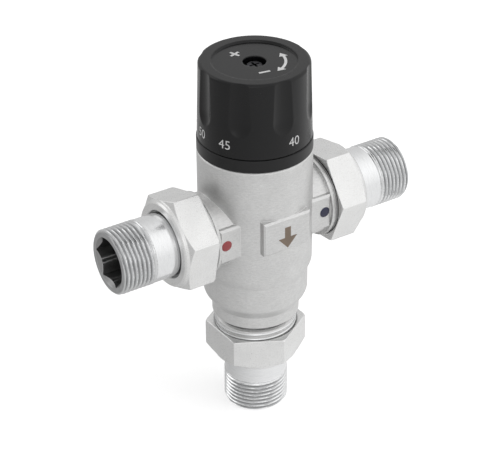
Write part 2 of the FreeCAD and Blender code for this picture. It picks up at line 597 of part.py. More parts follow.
def check_cut(body, feature_volume_before, name):
    doc.recompute()
    if body.Shape.Volume >= feature_volume_before:
        raise RuntimeError(f"{name} cuts nothing")


UPRIGHT = FreeCAD.Rotation()
TOWARDS_RIGHT = FreeCAD.Rotation(Vector(0, 0, 1), Vector(1, 0, 0))
TOWARDS_LEFT = FreeCAD.Rotation(Vector(0, 0, 1), Vector(-1, 0, 0))


def spun(rotation, degrees):
    """The same direction, with the piece turned about its own axis first."""
    return rotation.multiply(FreeCAD.Rotation(Vector(0, 0, 1), degrees))


# ---------------------------------------------------------------------------------
# Valve body
# ---------------------------------------------------------------------------------

def raised_face(body, name, half_width, bottom, top, front, bevel):
    """Block through the body whose front and back faces have bevelled edges."""
    block = sketch_on(body, f"{name}_outline", "XZ_Plane")
    rectangle(block, f"-{half_width}", half_width, bottom, top)
    pad(body, name, block, f"2 * ({front} - {bevel})", middle=True)
    for side, reverse in (("front", False), ("back", True)):
        sign = "-1 * " if reverse else ""
        edge = sketch_on(body, f"{name}_{side}_outline", "XZ_Plane",
                         z=f"{sign}({front} - {bevel})")
        rectangle(edge, f"-{half_width}", half_width, bottom, top)
        face = pad(body, f"{name}_{side}", edge, bevel, reverse=reverse)
        face.TaperAngle = BEVEL_ANGLE


def valve_body():
    body = new_body("valve_body")
    barrel = turn(body, "barrel", [
        ("0", "union_end"),
        ("union_thread_radius - union_lead", "union_end"),
        ("union_thread_radius", "union_end + union_lead"),
        ("union_thread_radius", "neck_bottom - relief_height - union_lead"),
        ("relief_radius", "neck_bottom - relief_height"),
        ("relief_radius", "neck_bottom"),
        ("neck_radius", "neck_bottom"),
        ("neck_radius", "neck_top"),
        ("waist_radius", "waist_bottom"),
        ("waist_radius", "waist_top"),
        ("body_radius", "barrel_bottom"),
        ("body_radius", "body_top - body_top_bevel"),
        ("body_radius - body_top_bevel", "body_top"),
        ("0", "body_top"),
    ])
    doc.recompute()
    shoulders = round_edges(barrel, "body_radius", "barrel_bottom")
    shoulders += round_edges(barrel, "waist_radius", "waist_bottom")
    fillet(body, "shoulder_roundings", barrel, shoulders, "shoulder_rounding")
    # the two inlet bosses, one turned piece along X
    collar_end = "(collar_inner + collar_width)"
    half = [
        ("arm_end", "0"),
        ("arm_end", "union_thread_radius - union_lead"),
        ("arm_end - union_lead", "union_thread_radius"),
        (collar_end, "union_thread_radius"),
        (collar_end, "collar_radius"),
        ("collar_inner", "collar_radius"),
        ("collar_inner", "boss_radius"),
    ]
    other = [(f"-1 * {x}", radius) for x, radius in reversed(half)]
    turn(body, "bosses", half + other, axis="H_Axis", y="run_height")
    # milled flats beside the inlets and the raised name pads, front and back alike
    raised_face(body, "flats", "collar_inner", "flat_bottom", "flat_top",
                "flat_front", "flat_bevel")
    raised_face(body, "pads", "pad_half_width", "pad_bottom", "pad_top",
                "pad_front", "pad_bevel")
    doc.recompute()
    solid = body.Shape.Volume
    # the waterway on the valve's axis, with both galleries
    turn(body, "waterway", [
        ("0", "union_end - union_lead"),
        ("outlet_radius", "union_end - union_lead"),
        ("outlet_radius", "throat_bottom - (outlet_radius - throat_radius)"),
        ("throat_radius", "throat_bottom"),
        ("throat_radius", "spring_ledge"),
        ("chamber_radius", "spring_ledge"),
        ("chamber_radius", "seat_bottom"),
        ("seat_radius", "seat_bottom"),
        ("seat_radius", "hot_floor"),
        ("gallery_radius", "hot_floor"),
        ("gallery_radius", "land_bottom"),
        ("shuttle_radius + shuttle_fit", "land_bottom"),
        ("shuttle_radius + shuttle_fit", "land_top"),
        ("head_radius", "land_top"),
        ("head_radius", "body_top + cut_over"),
        ("0", "body_top + cut_over"),
    ], cut=True)
    check_cut(body, solid, "waterway")
    for side, sign in (("cold", ""), ("hot", "-1 * ")):
        solid = body.Shape.Volume
        turn(body, f"{side}_inlet", [
            (f"{sign}inlet_step", "0"),
            (f"{sign}inlet_step", "inlet_step_radius"),
            (f"{sign}check_shoulder", "inlet_step_radius"),
            (f"{sign}check_shoulder", "check_bore_radius"),
            (f"{sign}(arm_end + cut_over)", "check_bore_radius"),
            (f"{sign}(arm_end + cut_over)", "0"),
        ], cut=True, axis="H_Axis", y="run_height")
        check_cut(body, solid, f"{side} inlet")
        # a port joins each inlet to its own gallery: cold above the land, hot below
        solid = body.Shape.Volume
        port = sketch_on(body, f"{side}_port_outline", "YZ_Plane",
                         z=f"{sign}(inlet_step + thin_gap)")
        near, far = "port_gap", "port_gap + port_height"
        if side == "cold":
            rectangle(port, "-port_half_width", "port_half_width",
                      f"run_height + {near}", f"run_height + {far}")
        else:
            rectangle(port, "-port_half_width", "port_half_width",
                      f"run_height - ({far})", f"run_height - {near}")
        pocket(body, f"{side}_port", port, "port_length", reverse=(side == "hot"))
        check_cut(body, solid, f"{side} port")
    # shallow recesses for the colour dots
    solid = body.Shape.Volume
    dots = sketch_on(body, "dots_outline", "XZ_Plane", z="flat_front - marker_depth")
    circle(dots, "marker_radius", "marker_offset", "marker_height")
    circle(dots, "marker_radius", "-marker_offset", "marker_height")
    pocket(body, "dots", dots, "marker_depth + cut_over", reverse=True)
    check_cut(body, solid, "dots")
    return body


def marker(label, sign):
    """Enamel dot in its recess."""
    body = new_body(label)
    sketch = sketch_on(body, label + "_outline", "XY_Plane")
    circle(sketch, "marker_radius - marker_fit")
    pad(body, label + "_dot", sketch, "marker_depth - thin_gap")
    rotation = FreeCAD.Rotation(Vector(0, 0, 1), Vector(0, -1, 0))
    place(body, rotation, x=f"{sign}marker_offset", y="-(flat_front - marker_depth)",
          z="marker_height")
    return body


# ---------------------------------------------------------------------------------
# Unions: tailpiece, nut and gasket, made upright with the free end at zero
# ---------------------------------------------------------------------------------

def tailpiece(label):
    body = new_body(label)
    turn(body, "barrel", [
        ("tail_bore_radius", "0"),
        ("tail_thread_radius - tail_end_chamfer", "0"),
        ("tail_thread_radius", "tail_end_chamfer"),
        ("tail_thread_radius", "tail_thread_length"),
        ("tail_barrel_radius", "tail_thread_length + thread_runout"),
        ("tail_barrel_radius", "tail_length - tail_flange_length"),
        ("tail_flange_radius", "tail_length - tail_flange_length"),
        ("tail_flange_radius", "tail_length"),
        ("tail_bore_radius", "tail_length"),
    ])
    socket = sketch_on(body, "socket_outline", "XY_Plane")
    hexagon(socket, "tail_hex_flats")
    pocket(body, "socket", socket, "tail_hex_depth", reverse=True)
    turn(body, "mouth", [
        ("0", "-1 * cut_over"),
        ("tail_hex_flats / sqrt(3) + socket_lead + cut_over", "-1 * cut_over"),
        ("0", "tail_hex_flats / sqrt(3) + socket_lead"),
    ], cut=True)
    return body


def union_nut(label):
    body = new_body(label)
    outline = sketch_on(body, "hexagon_outline", "XY_Plane")
    hexagon(outline, "nut_flats")
    pad(body, "hexagon_block", outline, "nut_height")
    corner = "(nut_flats / sqrt(3))"
    slope = f"(({corner} - nut_rim_radius) / (nut_cone_length - nut_rim_length))"
    turn(body, "outer_rim", [
        ("nut_face_radius", "0"),
        ("nut_face_radius", "-1 * cut_over"),
        (f"{corner} + {slope} * cut_over", "-1 * cut_over"),
        (f"{corner} + {slope} * cut_over", "nut_cone_length + cut_over"),
        ("nut_rim_radius", "nut_rim_length"),
        ("nut_rim_radius - nut_rim_bevel", "2 * nut_rim_bevel"),
        ("nut_rim_radius - 2 * nut_rim_bevel", "nut_rim_bevel"),
    ], cut=True)
    turn(body, "inner_cone", [
        (f"{corner} - nut_back_bevel", "nut_height"),
        (f"{corner} + cut_over", "nut_height - nut_back_bevel - cut_over"),
        (f"{corner} + cut_over", "nut_height + cut_over"),
        (f"{corner} - nut_back_bevel", "nut_height + cut_over"),
    ], cut=True)
    turn(body, "bore", [
        ("0", "-1 * cut_over"),
        ("nut_hole_radius + nut_hole_bevel", "-1 * cut_over"),
        ("nut_hole_radius + nut_hole_bevel", "0"),
        ("nut_hole_radius", "nut_hole_bevel"),
        ("nut_hole_radius", "nut_shoulder"),
        ("union_thread_radius + union_thread_fit", "nut_shoulder"),
        ("union_thread_radius + union_thread_fit", "nut_height - nut_mouth_bevel"),
        ("union_thread_radius + union_thread_fit + nut_mouth_bevel", "nut_height"),
        ("union_thread_radius + union_thread_fit + nut_mouth_bevel", "nut_height + cut_over"),
        ("0", "nut_height + cut_over"),
    ], cut=True)
    return body


def gasket(label):
    body = new_body(label)
    turn(body, "washer", [
        ("gasket_bore_radius", "0"),
        ("tail_flange_radius", "0"),
        ("tail_flange_radius", "gasket_thickness"),
        ("gasket_bore_radius", "gasket_thickness"),
    ])
    return body


NUT_LIFT = "(tail_length - tail_flange_length - nut_shoulder)"


def union(name, rotation, spins, sign):
    """One union at an inlet (sign '-1 * ' or '') or, with no sign, at the outlet."""
    tail = tailpiece(f"{name}_tailpiece")
    nut = union_nut(f"{name}_union_nut")
    washer = gasket(f"{name}_gasket")
    nut_turned, tail_turned = (spun(rotation, degrees) for degrees in spins)
    if sign is None:
        place(tail, tail_turned)
        place(nut, nut_turned, z=NUT_LIFT)
        place(washer, rotation, z="tail_length")
        return
    place(tail, tail_turned, x=f"{sign}half_span", z="run_height")
    place(nut, nut_turned, x=f"{sign}(half_span - {NUT_LIFT})", z="run_height")
    place(washer, rotation, x=f"{sign}(half_span - tail_length)", z="run_height")


# ---------------------------------------------------------------------------------
# Check valves, made upright with the seat at zero and the flow going up
# ---------------------------------------------------------------------------------

def o_ring(label, radius, rotation, **base):
    ring = doc.addObject("Part::Torus", label)
    ring.Label = label
    ring.setExpression("Radius1", bind(radius))
    ring.setExpression("Radius2", bind("o_ring_section"))
    NODES.append(ring)
    place(ring, rotation, **base)
    return ring


def coil_spring(label, radius, wire, turns, length, rotation, **base):
    """Square wire swept along a helix whose ends stand just inside the length."""
    path = doc.addObject("Part::Helix", label + "_path")
    path.setExpression("Radius", bind(radius))
    path.setExpression("Height", bind(f"{length} - spring_end_wires * {wire}"))
    path.setExpression("Pitch", bind(f"({length} - spring_end_wires * {wire}) / {turns}"))
    path.setExpression(".Placement.Base.z", bind(f"spring_end_wires * {wire} / 2"))
    section = doc.addObject("Part::RegularPolygon", label + "_section")
    section.Polygon = SIDE_COUNT
    section.setExpression("Circumradius", bind(wire))
    section.Placement.Rotation = FreeCAD.Rotation(Vector(1, 0, 0), RIGHT_ANGLE)
    section.setExpression(".Placement.Base.x", bind(radius))
    section.setExpression(".Placement.Base.z", bind(f"spring_end_wires * {wire} / 2"))
    spring = doc.addObject("Part::Sweep", label)
    spring.Label = label
    spring.Sections = [section]
    spring.Spine = (path, [])
    spring.Solid = True
    spring.Frenet = True
    NODES.append(spring)
    place(spring, rotation, **base)
    return spring


def check_housing(label):
    body = new_body(label)
    ring_middle = "check_seat_height + check_ring_height"
    ring_half = "(o_ring_section + o_ring_slack)"
    ring_floor = "(check_bore_radius - 2 * o_ring_section - o_ring_slack)"
    turn(body, "shell", [
        ("check_seat_radius", "0"),
        ("check_radius", "0"),
        ("check_radius", f"{ring_middle} - {ring_half}"),
        (ring_floor, f"{ring_middle} - {ring_half}"),
        (ring_floor, f"{ring_middle} + {ring_half}"),
        ("check_radius", f"{ring_middle} + {ring_half}"),
        ("check_radius", "check_length"),
        ("stem_radius + stem_fit", "check_length"),
        ("stem_radius + stem_fit", "check_length - guide_height"),
        ("check_chamber", "check_length - guide_height"),
        ("check_chamber", "check_seat_height"),
        ("check_seat_radius", "check_seat_height"),
    ])
    hole = sketch_on(body, "guide_hole_outline", "XY_Plane", z="check_length")
    circle(hole, "guide_hole_radius", "guide_hole_circle")
    first = pocket(body, "guide_hole", hole, "guide_height + cut_over")
    polar(body, "guide_holes", [first], "guide_hole_count")
    return body


POPPET_BACK = "(check_seat_height + poppet_gap + poppet_seal_height + poppet_height)"


def check_poppet(label):
    body = new_body(label)
    face = "(check_seat_height + poppet_gap)"
    turn(body, "poppet", [
        ("0", face),
        ("poppet_seal_bore", face),
        ("poppet_seal_bore", f"{face} + poppet_seal_height"),
        ("poppet_radius", f"{face} + poppet_seal_height"),
        ("poppet_radius", f"{face} + poppet_seal_height + poppet_edge"),
        ("check_spring_radius + poppet_boss", POPPET_BACK),
        ("stem_radius", POPPET_BACK),
        ("stem_radius", "check_length - turned_edge"),
        ("0", "check_length"),
    ])
    return body


def poppet_seal(label):
    body = new_body(label)
    face = "(check_seat_height + poppet_gap)"
    turn(body, "seal", [
        ("poppet_seal_bore + snug_fit", face),
        ("poppet_seal_radius", face),
        ("poppet_seal_radius", f"{face} + poppet_seal_height"),
        ("poppet_seal_bore + snug_fit", f"{face} + poppet_seal_height"),
    ])
    return body


def check_valve(name, rotation, sign):
    for piece in (check_housing(f"{name}_check_housing"),
                  check_poppet(f"{name}_check_poppet"),
                  poppet_seal(f"{name}_poppet_seal")):
        place(piece, rotation, x=f"{sign}check_end", z="run_height")
    coil_spring(f"{name}_check_spring", "check_spring_radius", "check_spring_wire",
                "check_spring_turns", f"(check_length - guide_height - {POPPET_BACK})",
                rotation, x=f"{sign}(check_end - {POPPET_BACK})", z="run_height")
    o_ring(f"{name}_check_o_ring", "check_bore_radius - o_ring_section - o_ring_slack / 2",
           rotation, x=f"{sign}(check_end - check_seat_height - check_ring_height)", z="run_height")


# ---------------------------------------------------------------------------------
# Shuttle, element, pin and return spring
# ---------------------------------------------------------------------------------

SHUTTLE_TOP = "(shuttle_bottom + shuttle_height)"
LAND_MIDDLE = "((land_bottom + land_top) / 2)"
SHUTTLE_RING_FLOOR = "(shuttle_radius - 2 * o_ring_section - o_ring_slack)"


def mixing_shuttle():
    body = new_body("mixing_shuttle")
    half = "(o_ring_section + o_ring_slack)"
    turn(body, "sleeve", [
        ("shuttle_bore", "shuttle_bottom"),
        ("shuttle_radius", "shuttle_bottom"),
        ("shuttle_radius", f"{LAND_MIDDLE} - {half}"),
        (SHUTTLE_RING_FLOOR, f"{LAND_MIDDLE} - {half}"),
        (SHUTTLE_RING_FLOOR, f"{LAND_MIDDLE} + {half}"),
        ("shuttle_radius", f"{LAND_MIDDLE} + {half}"),
        ("shuttle_radius", SHUTTLE_TOP),
        ("shuttle_bore", SHUTTLE_TOP),
        ("shuttle_bore", "hub_bottom + hub_height"),
        ("element_radius + element_fit", "hub_bottom + hub_height"),
        ("element_radius + element_fit", "hub_bottom"),
        ("shuttle_bore", "hub_bottom"),
    ])
    hole = sketch_on(body, "window_outline", "XY_Plane", z="hub_bottom + hub_height")
    circle(hole, "window_radius", "window_circle")
    first = pocket(body, "window", hole, "hub_height + cut_over")
    polar(body, "windows", [first], "window_count")
    return body


def hot_seat_ring():
    body = new_body("hot_seat_ring")
    top = "(shuttle_bottom - seat_gap)"
    turn(body, "seat", [
        ("seat_radius - seat_wall", "seat_bottom"),
        ("seat_radius", "seat_bottom"),
        ("seat_radius", f"{top} - turned_edge"),
        ("seat_radius - turned_edge", top),
        ("seat_radius - seat_wall", top),
    ])
    return body


def wax_element():
    body = new_body("wax_element")
    flange = "(hub_bottom + hub_height)"
    turn(body, "capsule", [
        ("0", "element_bottom"),
        ("element_radius - element_edge", "element_bottom"),
        ("element_radius", "element_bottom + element_edge"),
        ("element_radius", flange),
        ("element_flange_radius", flange),
        ("element_flange_radius", f"{flange} + element_flange_height"),
        ("element_neck_radius", f"{flange} + element_flange_height"),
        ("element_neck_radius", "element_neck_top - turned_edge"),
        ("element_neck_radius - turned_edge", "element_neck_top"),
        ("pin_radius + pin_fit", "element_neck_top"),
        ("pin_radius + pin_fit", "pin_bottom - pin_room"),
        ("0", "pin_bottom - pin_room"),
    ])
    return body


def actuator_pin():
    body = new_body("actuator_pin")
    tip = "(cap_bottom + cap_socket_depth - snug_fit)"
    turn(body, "pin", [
        ("0", "pin_bottom"),
        ("pin_radius", "pin_bottom"),
        ("pin_radius", f"{tip} - pin_edge"),
        ("pin_radius - pin_edge", tip),
        ("0", tip),
    ])
    return body


# ---------------------------------------------------------------------------------
# Bonnet, spindle, plunger and what they hold
# ---------------------------------------------------------------------------------

BONNET_RING = "(nose_top + bonnet_ring_lift)"


def bonnet():
    body = new_body("bonnet")
    half = "(o_ring_section + o_ring_slack)"
    floor = "(head_radius - 2 * o_ring_section - o_ring_slack)"
    collar_top = "(body_top + bonnet_collar_height)"
    turn(body, "turned_outside", [
        ("0", f"{SHUTTLE_TOP} + seat_gap"),
        ("nose_radius - nose_edge", f"{SHUTTLE_TOP} + seat_gap"),
        ("nose_radius", f"{SHUTTLE_TOP} + seat_gap + nose_edge"),
        ("nose_radius", "nose_top"),
        ("head_radius - head_fit", "nose_top"),
        ("head_radius - head_fit", f"{BONNET_RING} - {half}"),
        (floor, f"{BONNET_RING} - {half}"),
        (floor, f"{BONNET_RING} + {half}"),
        ("head_radius - head_fit", f"{BONNET_RING} + {half}"),
        ("head_radius - head_fit", "body_top"),
        ("bonnet_collar_radius", "body_top"),
        ("bonnet_collar_radius", collar_top),
        ("bonnet_neck_radius", collar_top),
        ("bonnet_neck_radius", "bonnet_top - bonnet_edge"),
        ("bonnet_neck_radius - bonnet_edge", "bonnet_top"),
        ("0", "bonnet_top"),
    ])
    key = sketch_on(body, "key_hexagon_outline", "XY_Plane", z=collar_top)
    hexagon(key, "bonnet_hex_flats")
    pad(body, "key_hexagon", key, f"bonnet_hex_top - {collar_top}")
    turn(body, "inside", [
        ("0", f"{SHUTTLE_TOP} + seat_gap - cut_over"),
        ("nose_bore", f"{SHUTTLE_TOP} + seat_gap - cut_over"),
        ("nose_bore", "nose_bore_top"),
        ("plunger_radius + plunger_fit", "nose_bore_top"),
        ("plunger_radius + plunger_fit", "spindle_shoulder"),
        ("spindle_radius + spindle_fit", "spindle_shoulder"),
        ("spindle_radius + spindle_fit", "bonnet_top + cut_over"),
        ("0", "bonnet_top + cut_over"),
    ], cut=True)
    slots = sketch_on(body, "key_slots_outline", "XY_Plane", z="nose_bore_top - cut_over")
    rectangle(slots, "-(key_radius + key_fit)", "key_radius + key_fit",
              "-(key_width / 2 + key_fit)", "key_width / 2 + key_fit")
    pocket(body, "key_slots", slots, "spindle_shoulder - nose_bore_top + cut_over", reverse=True)
    return body


def plunger():
    body = new_body("plunger")
    turn(body, "cup", [
        ("plunger_bore", "plunger_bottom"),
        ("plunger_radius", "plunger_bottom"),
        ("plunger_radius", "plunger_top"),
        ("spindle_thread_radius + spindle_fit", "plunger_top"),
        ("spindle_thread_radius + spindle_fit", "plunger_top - plunger_wall"),
        ("plunger_bore", "plunger_top - plunger_wall"),
        ("plunger_bore", "retainer_bottom + retainer_thickness + clip_play"),
        ("retainer_groove", "retainer_bottom + retainer_thickness + clip_play"),
        ("retainer_groove", "retainer_bottom - clip_play"),
        ("plunger_bore", "retainer_bottom - clip_play"),
    ])
    # two keys that slide in the bonnet's slots and keep the plunger from turning
    for side, sign in (("right", ""), ("left", "-")):
        key = sketch_on(body, f"{side}_key_outline", "XY_Plane", z="nose_bore_top + key_rise")
        rectangle(key, f"{sign}(plunger_radius - key_root)", f"{sign}key_radius",
                  "-key_width / 2", "key_width / 2")
        pad(body, f"{side}_key", key, "plunger_top - nose_bore_top - key_rise")
    return body


def plunger_circlip():
    body = new_body("plunger_circlip")
    turn(body, "ring", [
        ("retainer_bore", "retainer_bottom"),
        ("retainer_groove - thin_gap", "retainer_bottom"),
        ("retainer_groove - thin_gap", "retainer_bottom + retainer_thickness"),
        ("retainer_bore", "retainer_bottom + retainer_thickness"),
    ], angle="retainer_angle")
    return body


def spring_cap():
    body = new_body("spring_cap")
    shelf = "(cap_bottom + cap_flange)"
    turn(body, "cap", [
        ("pin_radius + pin_fit", "cap_bottom"),
        ("cap_radius", "cap_bottom"),
        ("cap_radius", shelf),
        ("cap_boss_radius", shelf),
        ("cap_boss_radius", f"{shelf} + cap_boss_height"),
        ("0", f"{shelf} + cap_boss_height"),
        ("0", "cap_bottom + cap_socket_depth"),
        ("pin_radius + pin_fit", "cap_bottom + cap_socket_depth"),
    ])
    return body


SPINDLE_RING = "((spindle_shoulder + bonnet_top) / 2)"
SPINDLE_RING_FLOOR = "(spindle_radius - 2 * o_ring_section - o_ring_slack)"


def spindle():
    body = new_body("spindle")
    collar_bottom = "(spindle_shoulder - thin_gap - spindle_collar_height)"
    half = "(o_ring_section + o_ring_slack)"
    turn(body, "shaft", [
        ("0", "spindle_bottom"),
        ("spindle_thread_radius - turned_edge", "spindle_bottom"),
        ("spindle_thread_radius", "spindle_bottom + turned_edge"),
        ("spindle_thread_radius", collar_bottom),
        ("spindle_collar_radius", collar_bottom),
        ("spindle_collar_radius", "spindle_shoulder - thin_gap"),
        ("spindle_radius", "spindle_shoulder - thin_gap"),
        ("spindle_radius", f"{SPINDLE_RING} - {half}"),
        (SPINDLE_RING_FLOOR, f"{SPINDLE_RING} - {half}"),
        (SPINDLE_RING_FLOOR, f"{SPINDLE_RING} + {half}"),
        ("spindle_radius", f"{SPINDLE_RING} + {half}"),
        ("spindle_radius", "clip_height - clip_play"),
        ("clip_groove_radius", "clip_height - clip_play"),
        ("clip_groove_radius", "clip_height + clip_thickness + clip_play"),
        ("spindle_radius", "clip_height + clip_thickness + clip_play"),
        ("spindle_radius", "spindle_top - turned_edge"),
        ("spindle_radius - turned_edge", "spindle_top"),
        ("screw_radius + screw_fit", "spindle_top"),
        ("screw_radius + screw_fit", f"{SCREW_SEAT} - screw_length - cut_over"),
        ("0", f"{SCREW_SEAT} - screw_length - cut_over"),
    ])
    notch = sketch_on(body, "notch_outline", "XY_Plane", z="spindle_top")
    polygon(notch, [
        ("spindle_radius - spline_depth", "0"),
        ("spindle_radius + spline_over", "-spline_notch / 2"),
        ("spindle_radius + spline_over", "spline_notch / 2"),
    ])
    first = pocket(body, "notch", notch, "spindle_top - spline_bottom")
    polar(body, "splines", [first], "spline_count")
    return body


def spindle_circlip():
    body = new_body("spindle_circlip")
    turn(body, "ring", [
        ("clip_groove_radius + clip_play", "clip_height"),
        ("clip_radius", "clip_height"),
        ("clip_radius", "clip_height + clip_thickness"),
        ("clip_groove_radius + clip_play", "clip_height + clip_thickness"),
    ], angle="clip_angle")
    return body


# ---------------------------------------------------------------------------------
# Stop ring, knob and knob screw
# ---------------------------------------------------------------------------------

SCREW_SEAT = "(spindle_top + web_gap + knob_web)"
RING_TOP = "(body_top + ring_height)"


def stop_ring():
    body = new_body("stop_ring")
    turn(body, "ring", [
        ("ring_bore", "body_top"),
        ("body_radius - ring_bevel", "body_top"),
        ("body_radius", "body_top + ring_bevel"),
        ("body_radius", f"{RING_TOP} - ring_bevel"),
        ("body_radius - ring_bevel", RING_TOP),
        ("ring_lip_radius", RING_TOP),
        ("ring_lip_radius", "body_top + ring_lip_bottom"),
        ("ring_bore", "body_top + ring_lip_bottom"),
    ])
    # the lug that limits the knob's turn, at the back of the valve
    turn(body, "stop_lug", [
        ("stop_inner", f"{RING_TOP} - stop_step"),
        ("stop_outer", f"{RING_TOP} - stop_step"),
        ("stop_outer", f"{RING_TOP} + stop_height"),
        ("stop_inner", f"{RING_TOP} + stop_height"),
    ], angle="stop_angle")
    behind = value("flute_phase + half_turn + (turn_hotter - turn_colder) / 2")
    place(body, FreeCAD.Rotation(Vector(0, 0, 1), behind))
    return body


def temperature_knob():
    body = new_body("temperature_knob")
    edge = f"({RING_TOP} + knob_gap)"
    skirt_inside = "(knob_skirt_radius - knob_wall)"
    floor = "(knob_top - knob_dish_depth)"
    shell = turn(body, "shell", [
        (skirt_inside, edge),
        ("knob_skirt_radius", edge),
        ("knob_top_radius", "knob_top"),
        ("knob_dish_radius", "knob_top"),
        ("knob_dish_radius - dish_slope", floor),
        ("knob_hole_radius", floor),
        ("knob_hole_radius", SCREW_SEAT),
        ("screw_radius + screw_clearance", SCREW_SEAT),
        ("screw_radius + screw_clearance", "spindle_top + web_gap"),
        ("spindle_radius + clip_play", "spindle_top + web_gap"),
        ("spindle_radius + clip_play", "knob_hub_bottom"),
        ("knob_hub_radius", "knob_hub_bottom"),
        ("knob_hub_radius", "knob_ceiling"),
        ("knob_top_radius - knob_wall", "knob_ceiling"),
    ])
    doc.recompute()
    rim = round_edges(shell, "knob_top_radius", "knob_top")
    fillet(body, "rim", shell, rim, "knob_edge")
    # finger flutes: a round-nosed column, sunk into the skirt from outside
    solid = body.Shape.Volume
    outline = sketch_on(body, "flute_outline", "XZ_Plane", x="flute_centre")
    round_nosed(outline, "flute_radius", "flute_bottom", "knob_top + cut_over")
    flute = body.newObject("PartDesign::Groove", "flute")
    flute.Profile = outline
    flute.ReferenceAxis = (outline, ["V_Axis"])
    flute.Angle = FULL_TURN
    polar(body, "flutes", [flute], "flute_count")
    check_cut(body, solid, "flutes")
    # ribs under the ceiling
    rib_outline = sketch_on(body, "rib_outline", "XZ_Plane")
    polygon(rib_outline, [
        ("knob_hub_radius - key_root", "knob_rib_bottom"),
        ("knob_top_radius - knob_wall + rib_root", "knob_rib_bottom + knob_rib_rise"),
        ("knob_top_radius - knob_wall + rib_root", "knob_ceiling + key_root"),
        ("knob_hub_radius - key_root", "knob_ceiling + key_root"),
    ])
    rib = pad(body, "rib", rib_outline, "knob_rib_width", middle=True)
    polar(body, "ribs", [rib], "knob_rib_count")
    # the lug that meets the ring's stop lug at each end of the turn
    turn(body, "stop_lug", [
        ("knob_lug_inner", f"{edge} + knob_lug_gap"),
        (f"{skirt_inside} + key_root", f"{edge} + knob_lug_gap"),
        (f"{skirt_inside} + key_root", f"{RING_TOP} + stop_height + stop_over"),
        ("knob_lug_inner", f"{RING_TOP} + stop_height + stop_over"),
    ], angle="2 * half_turn - turn_hotter - turn_colder - stop_angle - 2 * stop_play")
    doc.recompute()
    place(body, FreeCAD.Rotation(Vector(0, 0, 1), value("flute_phase")))
    return body


def knob_screw():
    body = new_body("knob_screw")
    head_top = f"({SCREW_SEAT} + screw_head_height)"
    turn(body, "screw", [
        ("0", f"{SCREW_SEAT} - screw_length"),
        ("screw_radius - screw_end", f"{SCREW_SEAT} - screw_length"),
        ("screw_radius", f"{SCREW_SEAT} - screw_length + screw_end"),
        ("screw_radius", SCREW_SEAT),
        ("screw_head_radius", SCREW_SEAT),
        ("screw_head_radius", f"{head_top} - screw_head_edge"),
        ("screw_head_radius - screw_head_edge", head_top),
        ("0", head_top),
    ])
    for name, width, length in (("across", "screw_slot_width", "screw_slot_length"),
                                ("along", "screw_slot_length", "screw_slot_width")):
        slot = sketch_on(body, f"{name}_outline", "XY_Plane", z=head_top)
        rectangle(slot, f"-{width} / 2", f"{width} / 2", f"-{length} / 2", f"{length} / 2")
        pocket(body, name, slot, "screw_slot_depth")
    return body


# ---------------------------------------------------------------------------------
# Assembly
# ---------------------------------------------------------------------------------

# how far each nut and tailpiece happens to be turned once tight: (nut, tailpiece), degrees
OUTLET_SPINS = (32, 15)
HOT_SPINS = (12, 34)
COLD_SPINS = (37, 20)

valve_body()
marker("hot_marker", "-")
marker("cold_marker", "")
union("outlet", UPRIGHT, OUTLET_SPINS, None)
union("hot", TOWARDS_RIGHT, HOT_SPINS, "-1 * ")
union("cold", TOWARDS_LEFT, COLD_SPINS, "")
check_valve("hot", TOWARDS_RIGHT, "-1 * ")
check_valve("cold", TOWARDS_LEFT, "")
hot_seat_ring()
mixing_shuttle()
wax_element()
actuator_pin()
coil_spring("return_spring", "return_radius", "return_wire", "return_turns",
            "(hub_bottom - spring_ledge)", UPRIGHT, z="spring_ledge")
o_ring("shuttle_o_ring", "shuttle_radius - o_ring_section", UPRIGHT, z=LAND_MIDDLE)
bonnet()
o_ring("bonnet_o_ring", "head_radius - o_ring_section - o_ring_slack / 2", UPRIGHT,
       z=BONNET_RING)
plunger()
plunger_circlip()
spring_cap()
coil_spring("overtravel_spring", "overtravel_radius", "overtravel_wire",
            "overtravel_turns",
            "(plunger_top - plunger_wall - cap_bottom - cap_flange)",
            UPRIGHT, z="cap_bottom + cap_flange")
spindle()
o_ring("spindle_o_ring", "spindle_radius - o_ring_section", UPRIGHT, z=SPINDLE_RING)
spindle_circlip()
stop_ring()
temperature_knob()
knob_screw()

doc.recompute()

# ---------------------------------------------------------------------------------
# Checks and export
# ---------------------------------------------------------------------------------

for item in doc.Objects:
    bad = [word for word in item.State if word in ("Invalid", "Error")]
    if bad:
        raise RuntimeError(f"{item.Label} is {bad[0]}")

os.makedirs("parts", exist_ok=True)
for node in NODES:
    shape = node.Shape
    if shape.isNull() or not shape.isValid():
        raise RuntimeError(f"{node.Label} has no valid shape")
    print(node.Label, len(shape.Solids), round(shape.Volume, 1))
    shape.exportStep(f"parts/{node.Label}.step")
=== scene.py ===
import json
import math

import bmesh
import bpy
from mathutils import Matrix, Vector


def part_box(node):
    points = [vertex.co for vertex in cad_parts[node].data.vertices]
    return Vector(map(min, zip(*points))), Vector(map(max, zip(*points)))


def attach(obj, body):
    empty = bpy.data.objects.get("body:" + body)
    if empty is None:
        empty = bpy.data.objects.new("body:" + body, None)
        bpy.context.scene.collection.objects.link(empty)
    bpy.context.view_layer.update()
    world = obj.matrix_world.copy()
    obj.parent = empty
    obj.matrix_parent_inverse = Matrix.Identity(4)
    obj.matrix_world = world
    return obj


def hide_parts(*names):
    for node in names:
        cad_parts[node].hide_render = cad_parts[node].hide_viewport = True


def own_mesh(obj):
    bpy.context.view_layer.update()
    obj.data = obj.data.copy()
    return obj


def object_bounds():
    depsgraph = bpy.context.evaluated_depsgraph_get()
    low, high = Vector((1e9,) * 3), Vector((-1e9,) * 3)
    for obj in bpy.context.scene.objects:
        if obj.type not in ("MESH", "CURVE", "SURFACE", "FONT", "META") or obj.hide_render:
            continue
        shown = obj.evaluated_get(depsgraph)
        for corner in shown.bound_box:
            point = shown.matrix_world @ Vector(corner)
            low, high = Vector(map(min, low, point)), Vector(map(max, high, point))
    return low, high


MM = 0.001
